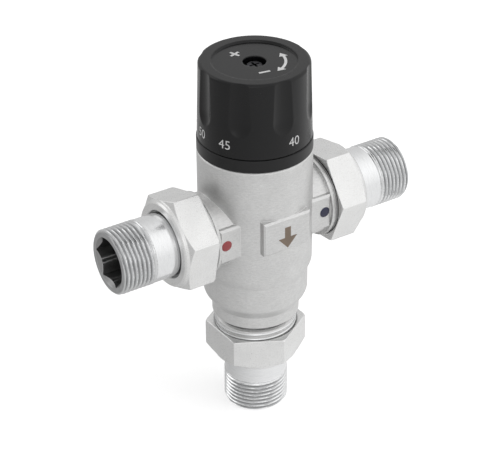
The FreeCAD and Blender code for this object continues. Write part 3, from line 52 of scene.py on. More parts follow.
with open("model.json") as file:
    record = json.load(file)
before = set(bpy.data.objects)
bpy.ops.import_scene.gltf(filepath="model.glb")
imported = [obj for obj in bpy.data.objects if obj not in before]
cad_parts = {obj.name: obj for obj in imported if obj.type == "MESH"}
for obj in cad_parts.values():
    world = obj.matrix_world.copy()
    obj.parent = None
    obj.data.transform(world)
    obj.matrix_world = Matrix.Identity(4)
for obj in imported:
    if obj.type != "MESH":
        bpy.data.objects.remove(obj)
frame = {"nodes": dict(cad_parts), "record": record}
cad_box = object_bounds()
scene = bpy.context.scene


# ---------------------------------------------------------------------------
# Places that the frame gives
# ---------------------------------------------------------------------------

class Axis:
    """A tailpiece's axis: origin at the free end, running inwards; corner is a socket corner's angle."""

    def __init__(self, origin, inward, side, corner):
        self.origin = Vector(origin)
        self.inward = Vector(inward)
        self.side = Vector(side)
        self.other = self.inward.cross(self.side)
        self.corner = corner

    def point(self, radius, angle, along):
        out = self.side * (radius * math.cos(angle)) + self.other * (radius * math.sin(angle))
        return self.origin + out + self.inward * along


def middle(low, high):
    return (low + high) / 2


hot_low, hot_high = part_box("hot_tailpiece")
cold_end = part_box("cold_tailpiece")[1].x
outlet_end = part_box("outlet_tailpiece")[0].z
knob_low, knob_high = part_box("temperature_knob")
RUN_HEIGHT = middle(hot_low.z, hot_high.z)
TAILS = {
    "hot": Axis((hot_low.x, 0, RUN_HEIGHT), (1, 0, 0), (0, 1, 0), math.radians(4)),
    "cold": Axis((cold_end, 0, RUN_HEIGHT), (-1, 0, 0), (0, 1, 0), math.radians(-10)),
    "outlet": Axis((0, 0, outlet_end), (0, 0, 1), (1, 0, 0), math.radians(15)),
}


# ---------------------------------------------------------------------------
# Mesh code
# ---------------------------------------------------------------------------

def make_mesh(name, points, faces, sharp=35):
    """A smooth-shaded object whose edges over sharp degrees stay sharp."""
    mesh = bpy.data.meshes.new(name)
    mesh.from_pydata([tuple(p) for p in points], [], faces)
    mesh.update()
    mesh.shade_smooth()
    mesh.set_sharp_from_angle(angle=math.radians(sharp))
    piece = bpy.data.objects.new(name, mesh)
    scene.collection.objects.link(piece)
    return piece


def dress(piece, look, body, node=None):
    """Give a piece its material, body and slot, and the node whose place it takes."""
    piece.data.materials.append(materials[look])
    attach(piece, body)
    if node:
        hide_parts(node)


def rings(name, axis, steps, start, profile, sharp=35):
    """A closed ring of quads: profile(angle) gives the (along, radius) pairs of one section."""
    points = []
    for k in range(steps):
        angle = start + math.tau * k / steps
        section = profile(angle)
        for along, radius in section:
            points.append(axis.point(radius, angle, along))
    count = len(section)
    faces = []
    for k in range(steps):
        a = k * count
        b = ((k + 1) % steps) * count
        for i in range(count):
            j = (i + 1) % count
            faces.append((a + i, b + i, b + j, a + j))
    return make_mesh(name, points, faces, sharp)


# ---------------------------------------------------------------------------
# Tailpieces with their threads
# ---------------------------------------------------------------------------

TAIL_STEPS = 144
THREAD_RADIUS = 13.22 * MM
THREAD_PITCH = 1.814 * MM
THREAD_DEPTH = 1.16 * MM
THREAD_LENGTH = 14.3 * MM
THREAD_ROWS = 10
CREST_FLAT = 0.16
ROOT_FLAT = 0.16
FLANK_CURVE = 0.35
RUNOUT_TURNS = 0.9
BARREL_RADIUS = 13.04 * MM
FLANGE_RADIUS = 15.05 * MM
FLANGE_LENGTH = 3 * MM
TAIL_LENGTH = hot_high.x - hot_low.x
BORE_RADIUS = 8.9 * MM
SOCKET_DEPTH = 13 * MM
SOCKET_STEP = 0.05 * MM
MOUTH_RADIUS = 10.35 * MM
MOUTH_LIP = 0.1 * MM
MOUTH_ROWS = 14
END_RADIUS = 12.45 * MM
BARREL_LEAD = 0.2 * MM
SOCKET_SHADE_REACH = 1.3 * MM
SOCKET_SHADE_START = 0.03 * MM


def hexagon_radius(angle, corner):
    """Distance to the socket's wall: BORE_RADIUS at a flat, more towards a corner."""
    past_corner = (angle - corner + math.pi / 6) % (math.pi / 3) - math.pi / 6
    return BORE_RADIUS / math.cos(math.pi / 6 - abs(past_corner))


def thread_radius(angle, along):
    """The male thread's height, chamfered at the free end and running out at the barrel."""
    phase = (along / THREAD_PITCH - angle / math.tau) % 1
    depth = (abs(2 * phase - 1) - CREST_FLAT) / (1 - CREST_FLAT - ROOT_FLAT)
    depth = min(max(depth, 0), 1)
    depth = depth * depth * (3 - 2 * depth) * FLANK_CURVE + depth * (1 - FLANK_CURVE)
    runout = min(max((THREAD_LENGTH - along) / (RUNOUT_TURNS * THREAD_PITCH), 0), 1)
    return min(THREAD_RADIUS - THREAD_DEPTH * depth * runout, END_RADIUS + along)


def thread_look(kind, name):
    """The look's name: the inlets' threads lie along x, the outlet's along z."""
    return kind + ("_outlet" if name == "outlet" else "_run")


def tailpiece(name):
    """Threaded tail with its barrel, flange, bore and hexagon socket, in the place of its node."""
    axis = TAILS[name]

    def section(angle):
        pairs = []
        rows = int(THREAD_LENGTH / THREAD_PITCH * THREAD_ROWS)
        for row in range(rows + 1):
            along = THREAD_LENGTH * row / rows
            pairs.append((along, thread_radius(angle, along)))
        back = TAIL_LENGTH - FLANGE_LENGTH
        pairs += [(THREAD_LENGTH + BARREL_LEAD, BARREL_RADIUS), (back, BARREL_RADIUS)]
        pairs += [(back, FLANGE_RADIUS), (TAIL_LENGTH, FLANGE_RADIUS), (TAIL_LENGTH, BORE_RADIUS)]
        socket = hexagon_radius(angle, axis.corner)
        pairs += [(SOCKET_DEPTH + SOCKET_STEP, BORE_RADIUS), (SOCKET_DEPTH, socket)]
        lead = MOUTH_RADIUS - BORE_RADIUS
        for row in range(MOUTH_ROWS + 1):
            along = lead * (1 - row / MOUTH_ROWS)
            pairs.append((along, max(socket, MOUTH_RADIUS - along)))
        pairs.append((0, MOUTH_RADIUS + MOUTH_LIP))
        return pairs

    piece = rings(name + "_threaded_tail", axis, TAIL_STEPS, axis.corner, section)
    dress(piece, thread_look("chrome_thread", name), "valve", name + "_tailpiece")
    # Painted shade: the faces inside the bore and the hexagon socket get a dark grey in place of the shade
    # in them.
    piece.data.materials.append(materials["socket"])
    for face in piece.data.polygons:
        offset = face.center - axis.origin
        along = offset.dot(axis.inward)
        from_axis = (offset - axis.inward * along).length
        if from_axis < BORE_RADIUS + SOCKET_SHADE_REACH and along > SOCKET_SHADE_START:
            face.material_index = 1


# ---------------------------------------------------------------------------
# Threads in the gaps of the unions
# ---------------------------------------------------------------------------

UNION_PITCH = 2.309 * MM
UNION_CREST = 16.9 * MM
UNION_ROOT = 16.3 * MM
UNION_WALL = 1.5 * MM
UNION_COVERED = 1.2 * MM
UNION_LENGTHS = {"hot": 1.9 * MM, "cold": 1.9 * MM, "outlet": 4.2 * MM}
UNION_PHASE = 0.1
UNION_STEPS = 128
UNION_ROWS = 12
RELIEF_RADIUS = 15.7 * MM
RELIEF_LEAD = 0.8 * MM
RELIEF_REACH = 6.47 * MM


def union_thread(name):
    """The male union thread where it shows between the body and the nut's inner end."""
    axis = TAILS[name]
    nut_end = max(abs((corner - axis.origin).dot(axis.inward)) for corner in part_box(name + "_union_nut"))
    start = nut_end - UNION_COVERED
    length = UNION_LENGTHS[name]

    def section(angle):
        pairs = []
        rows = int(length / UNION_PITCH * UNION_ROWS)
        for row in range(rows + 1):
            along = start + length * row / rows
            phase = ((along - start) / UNION_PITCH - angle / math.tau + UNION_PHASE) % 1
            tooth = 0.5 + 0.5 * math.cos(math.tau * phase)
            pairs.append((along, UNION_ROOT + (UNION_CREST - UNION_ROOT) * tooth))
        inside = UNION_ROOT - UNION_WALL
        if name == "outlet":
            pairs += [(start + length + RELIEF_LEAD, RELIEF_RADIUS), (nut_end + RELIEF_REACH, RELIEF_RADIUS)]
        return pairs + [(pairs[-1][0], inside), (start, inside)]

    piece = rings(name + "_union_thread", axis, UNION_STEPS, 0, section, 60)
    dress(piece, thread_look("union_thread", name), "valve")


# ---------------------------------------------------------------------------
# Springs
# ---------------------------------------------------------------------------

COIL_STEPS = 28
WIRE_SIDES = 10
UP, SIDEWAYS = Vector((0, 0, 1)), Vector((1, 0, 0))


def spring(name, body, wire, turns, forward):
    """Round-wire coil in the place of its node, wound along forward.
    """
    low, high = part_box(name)
    length = (high - low).dot(forward)
    radius = (high.y - low.y) / 2 - wire
    side = SIDEWAYS if forward is UP else UP
    across = forward.cross(side)
    base = middle(low, high) - forward * (length / 2 - wire)
    sections = turns * COIL_STEPS
    rise = (length - 2 * wire) / sections
    points = []
    for step in range(sections + 1):
        angle = math.tau * step / COIL_STEPS
        radial = side * math.cos(angle) + across * math.sin(angle)
        spot = base + radial * radius + forward * rise * step
        for k in range(WIRE_SIDES):
            turn = math.tau * k / WIRE_SIDES
            points.append(spot + radial * wire * math.cos(turn) + forward * wire * math.sin(turn))
    faces = []
    for step in range(sections):
        for k in range(WIRE_SIDES):
            a = step * WIRE_SIDES + k
            b = step * WIRE_SIDES + (k + 1) % WIRE_SIDES
            faces.append((a, b, b + WIRE_SIDES, a + WIRE_SIDES))
    faces.append(tuple(reversed(range(WIRE_SIDES))))
    faces.append(tuple(sections * WIRE_SIDES + k for k in range(WIRE_SIDES)))
    piece = make_mesh(name + "_coil", points, faces)
    dress(piece, "spring_steel", body, name)
    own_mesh(piece)


# ---------------------------------------------------------------------------
# Colour dots, dial and marks
# ---------------------------------------------------------------------------

DOT_RISE = 0.25 * MM


def facing_disc(name, centre, radius, rise, steps=48, rows=8):
    """A shallow paint dome that faces -Y, with a lower rim."""
    points = [(centre[0], centre[1] - rise, centre[2])]
    for row in range(1, rows + 1):
        share = row / rows
        lift = rise * (1 - share ** 4)
        for k in range(steps):
            angle = math.tau * k / steps
            x = centre[0] + radius * share * math.cos(angle)
            z = centre[2] + radius * share * math.sin(angle)
            points.append((x, centre[1] - lift, z))
    faces = [(0, 1 + k, 1 + (k + 1) % steps) for k in range(steps)]
    for row in range(rows - 1):
        a, b = 1 + row * steps, 1 + (row + 1) * steps
        faces += [(a + k, b + k, b + (k + 1) % steps, a + (k + 1) % steps) for k in range(steps)]
    return make_mesh(name, points, faces)


def colour_dot(side):
    """The domed dot of enamel that marks the hot or the cold inlet, in the place of its node."""
    low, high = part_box(side + "_marker")
    centre = middle(low, high)
    piece = facing_disc(side + "_dot", (centre.x, low.y, centre.z), (high.x - low.x) / 2, DOT_RISE)
    enamel = "red_enamel" if side == "hot" else "blue_enamel"
    dress(piece, enamel, "valve", side + "_marker")


GLYPH_THINNING = -0.002
GLYPH_CURVE_STEPS = 6
GLYPH_EDGE = 0.12
GLYPH_CUTS = 3


def glyphs(text):
    """Built-in font as mesh points and faces, centred, one unit high, cut small enough to bend."""
    curve = bpy.data.curves.new("glyphs", "FONT")
    curve.body = text
    curve.resolution_u = GLYPH_CURVE_STEPS
    curve.offset = GLYPH_THINNING
    thing = bpy.data.objects.new("glyphs", curve)
    scene.collection.objects.link(thing)
    bpy.context.view_layer.update()
    mesh = bpy.data.meshes.new_from_object(thing.evaluated_get(bpy.context.evaluated_depsgraph_get()))
    bpy.data.objects.remove(thing)
    shape = bmesh.new()
    shape.from_mesh(mesh)
    bmesh.ops.triangulate(shape, faces=shape.faces)
    for _ in range(GLYPH_CUTS):
        long_edges = [e for e in shape.edges if e.calc_length() > GLYPH_EDGE]
        bmesh.ops.subdivide_edges(shape, edges=long_edges, cuts=1)
        bmesh.ops.triangulate(shape, faces=[f for f in shape.faces if len(f.verts) > 3])
    xs = [v.co.x for v in shape.verts]
    ys = [v.co.y for v in shape.verts]
    centre_x, centre_y = middle(min(xs), max(xs)), middle(min(ys), max(ys))
    high = max(ys) - min(ys)
    shape.verts.index_update()
    points = [((v.co.x - centre_x) / high, (v.co.y - centre_y) / high) for v in shape.verts]
    faces = [tuple(v.index for v in f.verts) for f in shape.faces]
    shape.free()
    return points, faces


# Degrees Celsius, each at its angle round the knob in degrees from +X.
DIAL = {"40": -81, "45": -154, "50": 173, "35": -14, "55": 139, "60": 104}
NUMBER_HEIGHT = 3.7 * MM
NUMBER_STRETCH = 1.02
NUMBER_LEVEL = knob_low.z + 5.3 * MM
SKIRT_LOW, SKIRT_HIGH = 22.7 * MM, 21.8 * MM
INK = 0.05 * MM


def skirt_radius(height):
    """The knob's outer radius between its flutes: it narrows evenly from bottom to top."""
    share = (height - knob_low.z) / (knob_high.z - knob_low.z)
    return SKIRT_LOW + (SKIRT_HIGH - SKIRT_LOW) * share


def dial_number(text, azimuth):
    """One number wrapped round the knob's skirt, a film of ink outside it."""
    flat, faces = glyphs(text)
    points = []
    for x, y in flat:
        height = NUMBER_LEVEL + y * NUMBER_HEIGHT
        radius = skirt_radius(height) + INK
        angle = math.radians(azimuth) + x * NUMBER_HEIGHT * NUMBER_STRETCH / radius
        points.append((radius * math.cos(angle), radius * math.sin(angle), height))
    dress(make_mesh("dial_" + text, points, faces), "ink", "knob")


def strip(radius, width, start, end, steps):
    """Points and faces of a flat arc of a ring."""
    points, faces = [], []
    for k in range(steps + 1):
        angle = math.radians(start + (end - start) * k / steps)
        for r in (radius - 0.5 * width, radius + 0.5 * width):
            points.append((r * math.cos(angle), r * math.sin(angle)))
    for k in range(steps):
        faces.append((2 * k, 2 * k + 1, 2 * k + 3, 2 * k + 2))
    return points, faces


def joined(shapes):
    """Several flat shapes as one list of points and faces."""
    points, faces = [], []
    for more_points, more_faces in shapes:
        start = len(points)
        points += more_points
        faces += [tuple(start + i for i in face) for face in more_faces]
    return points, faces


def turned(outline, radius, angle):
    """A flat outline moved out to a radius and turned in degrees."""
    c, s = math.cos(math.radians(angle)), math.sin(math.radians(angle))
    return [((u + radius) * c - v * s, (u + radius) * s + v * c) for u, v in outline]


def bar(radius, angle, length, width):
    """A flat rectangle that lies across the radius."""
    x, y = width / 2, length / 2
    return turned([(-x, -y), (x, -y), (x, y), (-x, y)], radius, angle), [(0, 1, 2, 3)]


def cross(radius, angle, length, width):
    """A flat plus sign."""
    x, y = width / 2, length / 2
    outline = [(x, -y), (x, -x), (y, -x), (y, x), (x, x), (x, y),
               (-x, y), (-x, x), (-y, x), (-y, -x), (-x, -x), (-x, -y)]
    return turned(outline, radius, angle), [(0, 1, 4, 5, 6, 7, 10, 11), (1, 2, 3, 4), (7, 8, 9, 10)]


ARROW_HALF_WIDTH = 0.6


def arrow_head(radius, angle, size, way):
    """A triangle on a ring, pointing along it."""
    back = math.radians(angle)
    tip = math.radians(angle + way * math.degrees(size / radius))
    half = size * ARROW_HALF_WIDTH
    corners = ((radius - half, back), (radius + half, back), (radius, tip))
    return [(r * math.cos(t), r * math.sin(t)) for r, t in corners], [(0, 1, 2)]


MARK_RADIUS = 12 * MM
MARK_WIDTH = 1.1 * MM
MARK_DEPTH = 0.8 * MM
MARK_START, MARK_END = -62, -12
MARK_STEPS = 24
ARROW_SIZE = 3 * MM
SIGN_RADIUS = 9.8 * MM
SIGN_SIZE = 4.6 * MM
PLUS_ANGLE = 108
MINUS_ANGLE = -100


def top_mark():
    """A curved arrow with two heads, a plus and a minus: the knob turns both ways."""
    level = knob_high.z - MARK_DEPTH + INK
    flat, faces = joined([
        strip(MARK_RADIUS, MARK_WIDTH, MARK_START, MARK_END, MARK_STEPS),
        arrow_head(MARK_RADIUS, MARK_START, ARROW_SIZE, -1),
        arrow_head(MARK_RADIUS, MARK_END, ARROW_SIZE, 1),
        cross(SIGN_RADIUS, PLUS_ANGLE, SIGN_SIZE, MARK_WIDTH),
        bar(SIGN_RADIUS, MINUS_ANGLE, SIGN_SIZE, MARK_WIDTH),
    ])
    piece = make_mesh("turning_mark", [(x, y, level) for x, y in flat], faces)
    dress(piece, "ink", "knob")


PAD_MARK_LEVEL = RUN_HEIGHT + 1 * MM
PAD_MARK_FILM = 0.02 * MM
# The arrow's corners across and up from its middle, in millimetres.
PAD_ARROW = [(-1.4, 4.6), (1.4, 4.6), (1.4, 0), (4.4, 0), (0, -4.9), (-4.4, 0), (-1.4, 0)]


def pad_mark():
    """A plain arrow down to the outlet, etched into the front pad."""
    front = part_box("valve_body")[0].y - PAD_MARK_FILM
    points = [(x * MM, front, PAD_MARK_LEVEL + z * MM) for x, z in PAD_ARROW]
    piece = make_mesh("flow_mark", points, [tuple(reversed(range(len(points))))])
    dress(piece, "etched", "valve")


# ---------------------------------------------------------------------------
# Materials
# ---------------------------------------------------------------------------

NOISE_ROUGHNESS = 0.55
BEVEL_SAMPLES = 6
# Painted edge highlight: from none to full, by the dot of the rounded and the surface's own normals.
EDGE_HIGHLIGHT_FROM, EDGE_HIGHLIGHT_TO = 0.93, 0.998


class Look:
    """A Principled material and short ways to feed it."""

    def __init__(self, name, metallic, colour):
        self.material = bpy.data.materials.new(name)
        self.material.use_nodes = True
        self.material.diffuse_color = (*colour, 1)
        self.tree = self.material.node_tree
        self.shader = self.tree.nodes["Principled BSDF"]
        self.shader.inputs["Metallic"].default_value = metallic
        self.place = self.tree.nodes.new("ShaderNodeTexCoord").outputs["Object"]

    def node(self, kind, **settings):
        """A node of this kind with its own settings set."""
        made = self.tree.nodes.new(kind)
        for key, value in settings.items():
            setattr(made, key, value)
        return made

    def link(self, output, target):
        self.tree.links.new(output, target)

    def noise(self, scale, detail=3.0, stretch=None):
        """Noise in the object's own space, of scale features a metre, or stretched by axis."""
        texture = self.node("ShaderNodeTexNoise")
        texture.inputs["Scale"].default_value = scale
        texture.inputs["Detail"].default_value = detail
        texture.inputs["Roughness"].default_value = NOISE_ROUGHNESS
        source = self.place
        if stretch:
            mapping = self.node("ShaderNodeMapping")
            mapping.inputs["Scale"].default_value = stretch
            self.link(source, mapping.inputs["Vector"])
            source = mapping.outputs["Vector"]
        self.link(source, texture.inputs["Vector"])
        return texture.outputs["Fac"]

    def spread(self, value, low, high, start=0.3, end=0.7):
        """value from start to end, stretched over low to high and held there beyond."""
        span = self.node("ShaderNodeMapRange")
        self.link(value, span.inputs["Value"])
        span.inputs["From Min"].default_value = start
        span.inputs["From Max"].default_value = end
        span.inputs["To Min"].default_value = low
        span.inputs["To Max"].default_value = high
        return span.outputs["Result"]

    def blend(self, value, first, second):
        """Between two fixed colours, by value."""
        mix = self.node("ShaderNodeMix", data_type="RGBA")
        self.link(value, mix.inputs["Factor"])
        mix.inputs[6].default_value = (*first, 1)
        mix.inputs[7].default_value = (*second, 1)
        return mix.outputs[2]

    def tint(self, value, first, second, share):
        """first, moved by share towards the fixed colour second where value is high."""
        amount = self.node("ShaderNodeMath", operation="MULTIPLY")
        self.link(value, amount.inputs[0])
        amount.inputs[1].default_value = share
        mix = self.node("ShaderNodeMix", data_type="RGBA")
        self.link(amount.outputs[0], mix.inputs["Factor"])
        self.link(first, mix.inputs[6])
        mix.inputs[7].default_value = (*second, 1)
        return mix.outputs[2]

    def soft_edges(self, radius):
        """Normals that round each edge by radius, in millimetres."""
        bevel = self.node("ShaderNodeBevel", samples=BEVEL_SAMPLES)
        bevel.inputs["Radius"].default_value = radius * MM
        return bevel.outputs["Normal"]

    def painted_edge_highlight(self, normals):
        """Mask of the painted edge highlight: 1 where the rounded normals leave the surface's own, 0 on open
        faces.
        """
        own = self.node("ShaderNodeNewGeometry").outputs["Normal"]
        dot = self.node("ShaderNodeVectorMath", operation="DOT_PRODUCT")
        self.link(normals, dot.inputs[0])
        self.link(own, dot.inputs[1])
        return self.spread(dot.outputs["Value"], 1, 0, EDGE_HIGHLIGHT_FROM, EDGE_HIGHLIGHT_TO)

    def bump(self, height, strength, distance, previous=None):
        """Normals tilted by height, over the surface's own or the previous ones."""
        bump = self.node("ShaderNodeBump")
        bump.inputs["Strength"].default_value = strength
        bump.inputs["Distance"].default_value = distance
        self.link(height, bump.inputs["Height"])
        if previous:
            self.link(previous, bump.inputs["Normal"])
        return bump.outputs["Normal"]

    def feed(self, socket, output):
        """Drive one of the shader's sockets."""
        self.link(output, self.shader.inputs[socket])


def shade(colour, factor):
    return tuple(channel * factor for channel in colour)


def blasted_metal(name, colour, rough, grain=2200, strength=0.35, edge=0.3, metallic=1.0, lines=None):
    """Plated metal over a fine blasted grain, with soft edges lightened as a painted highlight.

    rough is the smoothest and the roughest; edge is in millimetres; lines stretches a coarser grain.
    """
    look = Look(name, metallic, colour)
    patches = look.noise(140, 4)
    fine = look.noise(grain, 2)
    tone = look.blend(look.spread(patches, 0, 1), shade(colour, 0.95), shade(colour, 1.03))
    tone = look.tint(look.spread(fine, 0, 1, 0.35, 0.65), tone, shade(colour, 0.74), 0.42)
    soft = look.soft_edges(edge)
    relief = look.bump(look.noise(420, 3), 0.18, 0.12 * MM, soft)
    if lines:
        streaks = look.noise(1, 3, stretch=lines)
        tone = look.tint(look.spread(streaks, 0, 1, 0.4, 0.68), tone, shade(colour, 0.68), 0.4)
        relief = look.bump(streaks, 0.2, 0.08 * MM, relief)
    # Painted highlight: edges lightened towards 1.25 of the colour, in place of light caught on them.
    tone = look.tint(look.painted_edge_highlight(soft), tone, shade(colour, 1.25), 0.6)
    look.feed("Base Color", tone)
    look.feed("Roughness", look.spread(fine, rough[1], rough[0]))
    look.feed("Normal", look.bump(fine, strength, 0.05 * MM, relief))
    return look.material


def turned_metal(name, colour, rough, across):
    """Metal with fine marks; across is the marks' number a metre along each axis."""
    look = Look(name, 1.0, colour)
    marks = look.noise(1, 3, stretch=across)
    patches = look.spread(look.noise(120, 3), 0, 1)
    look.feed("Base Color", look.blend(patches, shade(colour, 0.95), shade(colour, 1.02)))
    look.feed("Roughness", look.spread(marks, rough[0], rough[1]))
    look.feed("Normal", look.bump(marks, 0.12, 0.02 * MM))
    return look.material


def threaded_metal(name, colour, root, crest, run, depth=0.5):
    """Bright plate with painted shade in the roots of a thread, by the distance from the thread's axis.

    run is true for the inlets' threads, along x, and false for the outlet's, along z; depth is the
    share of the colour that is left in the roots under the painted shade.
    """
    look = Look(name, 1.0, colour)
    centred = look.node("ShaderNodeMapping")
    centred.inputs["Location"].default_value = (0, 0, -RUN_HEIGHT) if run else (0, 0, 0)
    centred.inputs["Scale"].default_value = (0, 1, 1) if run else (1, 1, 0)
    look.link(look.place, centred.inputs["Vector"])
    distance = look.node("ShaderNodeVectorMath", operation="LENGTH")
    look.link(centred.outputs["Vector"], distance.inputs[0])
    height = look.spread(distance.outputs["Value"], 0, 1, root, crest)
    top = look.spread(distance.outputs["Value"], 0, 1, crest + 0.15 * MM, crest + 0.25 * MM)
    marks = look.noise(1, 3, stretch=(3500, 300, 300) if run else (300, 300, 3500))
    worn = look.node("ShaderNodeMath", operation="MULTIPLY")
    look.link(look.spread(look.noise(1300, 3), 0, 1, 0.45, 0.6), worn.inputs[0])
    look.link(top, worn.inputs[1])
    # Painted shade: the thread's roots darkened to depth of the colour, the crests keep it.
    tone = look.blend(height, shade(colour, depth), colour)
    tone = look.tint(look.spread(marks, 0, 1, 0.4, 0.65), tone, shade(colour, 0.8), 0.3)
    look.feed("Base Color", look.tint(worn.outputs[0], tone, shade(colour, 0.55), 0.6))
    rough = look.node("ShaderNodeMath", operation="SUBTRACT")
    look.link(look.spread(marks, 0.3, 0.36), rough.inputs[0])
    look.link(look.spread(height, 0, 0.16, 0, 1), rough.inputs[1])
    look.feed("Roughness", rough.outputs[0])
    look.feed("Normal", look.bump(marks, 0.2, 0.02 * MM))
    return look.material


def moulded_plastic(name, colour, rough, grain=1500, strength=0.2, specular=0.5, edge=0.25):
    """Plastic, rubber, fibre, ink or enamel: a faint grain with edges softened by edge millimetres."""
    look = Look(name, 0.0, colour)
    patches = look.noise(90, 4)
    fine = look.noise(grain, 2)
    look.feed("Base Color", look.blend(look.spread(patches, 0, 1), shade(colour, 0.85), shade(colour, 1.2)))
    look.shader.inputs["Specular IOR Level"].default_value = specular
    look.feed("Roughness", look.spread(patches, rough[0], rough[1]))
    look.feed("Normal", look.bump(fine, strength, 0.04 * MM, look.soft_edges(edge)))
    return look.material


NICKEL = (0.71, 0.71, 0.705)
SATIN_CHROME = (0.76, 0.76, 0.755)
CHROME = (0.74, 0.745, 0.75)
BLACK = (0.004, 0.004, 0.0045)
SHADED = (0.2, 0.2, 0.2)
TAIL_THREAD = (12.1 * MM, 12.9 * MM)
UNION_THREAD = (16.2 * MM, 16.8 * MM)
materials = {
    "satin_nickel": blasted_metal(
        "satin_nickel_look", NICKEL, (0.38, 0.5), 2600, 0.4, 0.35, metallic=0.82, lines=(650, 650, 2600)),
    "chrome_satin": blasted_metal("chrome_satin_look", SATIN_CHROME, (0.26, 0.36), 2600, 0.25, 0.6, 0.9),
    # Dark grey metal, painted as the shade inside the tailpieces' sockets.
    "socket": blasted_metal("socket_shade_look", (0.3, 0.3, 0.3), (0.3, 0.45), 1500, 0.2, 0.1),
    "black_steel": blasted_metal("black_steel_look", (0.05, 0.05, 0.055), (0.3, 0.42)),
    "chrome_plate": turned_metal("chrome_plate_look", CHROME, (0.1, 0.18), (2500, 2500, 2500)),
    "brass": turned_metal("brass_look", (0.78, 0.6, 0.3), (0.2, 0.32), (400, 400, 3000)),
    "spring_steel": turned_metal("spring_steel_look", (0.62, 0.62, 0.63), (0.2, 0.3), (900, 900, 900)),
    # Painted shade in the roots of the tailpieces' threads, at half the colour.
    "chrome_thread_run": threaded_metal("chrome_thread_run_look", CHROME, *TAIL_THREAD, True),
    "chrome_thread_outlet": threaded_metal("chrome_thread_outlet_look", CHROME, *TAIL_THREAD, False),
    # Painted shade: the union threads show dark in the nuts' gaps, the inlets' in a shaded grey all over,
    # the outlet's in its roots and relief groove.
    "union_thread_run": threaded_metal("union_thread_run_look", SHADED, *UNION_THREAD, True, 0.15),
    "union_thread_outlet": threaded_metal("union_thread_outlet_look", CHROME, *UNION_THREAD, False, 0.12),
    "black_plastic": moulded_plastic("black_plastic_look", BLACK, (0.3, 0.4), specular=0.34),
    "knob_plastic": moulded_plastic("knob_plastic_look", BLACK, (0.2, 0.28), specular=0.3, edge=0.8),
    "check_plastic": moulded_plastic("check_plastic_look", (0.75, 0.75, 0.72), (0.35, 0.5)),
    "rubber": moulded_plastic("rubber_look", (0.02, 0.02, 0.02), (0.5, 0.7)),
    "fibre": moulded_plastic("fibre_look", (0.12, 0.1, 0.08), (0.7, 0.9)),
    "red_enamel": moulded_plastic("red_enamel_look", (0.36, 0.06, 0.065), (0.3, 0.42), 700, 0.35),
    "blue_enamel": moulded_plastic("blue_enamel_look", (0.018, 0.02, 0.055), (0.3, 0.42), 700, 0.35),
    "ink": moulded_plastic("ink_look", (0.72, 0.72, 0.72), (0.45, 0.6), 900, 0.05, edge=0.01),
    "etched": moulded_plastic("etched_look", (0.24, 0.185, 0.14), (0.5, 0.65), 1200, 0.3, edge=0.01),
}


# ---------------------------------------------------------------------------
# The part: materials on its nodes, then the pieces of the scene
# ---------------------------------------------------------------------------

slots = {part["node"]: part["material_slot"] for part in frame["record"]["subparts"]}
for node, thing in frame["nodes"].items():
    for slot in thing.material_slots:
        slot.material = materials[slots[node]]

for name in TAILS:
    tailpiece(name)
for name in TAILS:
    union_thread(name)
for name in ("hot", "cold"):
    colour_dot(name)
THICK_WIRE, THIN_WIRE = 0.7 * MM, 0.3 * MM
spring("return_spring", "valve", THICK_WIRE, 5, UP)
spring("overtravel_spring", "plunger", THICK_WIRE, 4, UP)
spring("hot_check_spring", "valve", THIN_WIRE, 3, SIDEWAYS)
spring("cold_check_spring", "valve", THIN_WIRE, 3, SIDEWAYS)
for number, azimuth in DIAL.items():
    dial_number(number, azimuth)
top_mark()
pad_mark()


# ---------------------------------------------------------------------------
# Floor, light and camera
# ---------------------------------------------------------------------------

def disc(name, radius, height, steps=96):
    """A flat round sheet."""
    points = [(0, 0, height)]
    for k in range(steps):
        angle = math.tau * k / steps
        points.append((radius * math.cos(angle), radius * math.sin(angle), height))
    faces = [(0, k + 1, (k + 1) % steps + 1) for k in range(steps)]
    return make_mesh(name, points, faces)


def math_node(tree, operation, first, second):
    """A sum, product or the like of two sockets or numbers."""
    made = tree.nodes.new("ShaderNodeMath")
    made.operation = operation
    for socket, value in zip(made.inputs, (first, second)):
        if isinstance(value, (int, float)):
            socket.default_value = value
        else:
            tree.links.new(value, socket)
    return made.outputs[0]


def seen_by(tree):
    """Whether a ray comes from the camera, and whether it is mirrored or passes through glass."""
    path = tree.nodes.new("ShaderNodeLightPath")
    glossy, through = path.outputs["Is Glossy Ray"], path.outputs["Is Transmission Ray"]
    return path.outputs["Is Camera Ray"], math_node(tree, "MAXIMUM", glossy, through)


def gradient(tree, place, towards, base, swing):
    """base + swing * (unit place . towards): the studio's soft fall-off from one side to the other."""
    unit = tree.nodes.new("ShaderNodeVectorMath")
    unit.operation = "NORMALIZE"
    tree.links.new(place, unit.inputs[0])
    dot = tree.nodes.new("ShaderNodeVectorMath")
    dot.operation = "DOT_PRODUCT"
    tree.links.new(unit.outputs["Vector"], dot.inputs[0])
    dot.inputs[1].default_value = towards
    return math_node(tree, "ADD", math_node(tree, "MULTIPLY", dot.outputs["Value"], swing), base)


def add_glow(tree, place, towards, sharpness, strength, light):
    """light with a soft spot towards one side added."""
    spot = math_node(tree, "MAXIMUM", gradient(tree, place, towards, 0, 1), 0)
    spot = math_node(tree, "MULTIPLY", math_node(tree, "POWER", spot, sharpness), strength)
    return math_node(tree, "ADD", light, spot)


def direction(azimuth, elevation):
    """A unit direction from degrees round from +X and degrees up."""
    a, e = math.radians(azimuth), math.radians(elevation)
    return (math.cos(a) * math.cos(e), math.sin(a) * math.cos(e), math.sin(e))


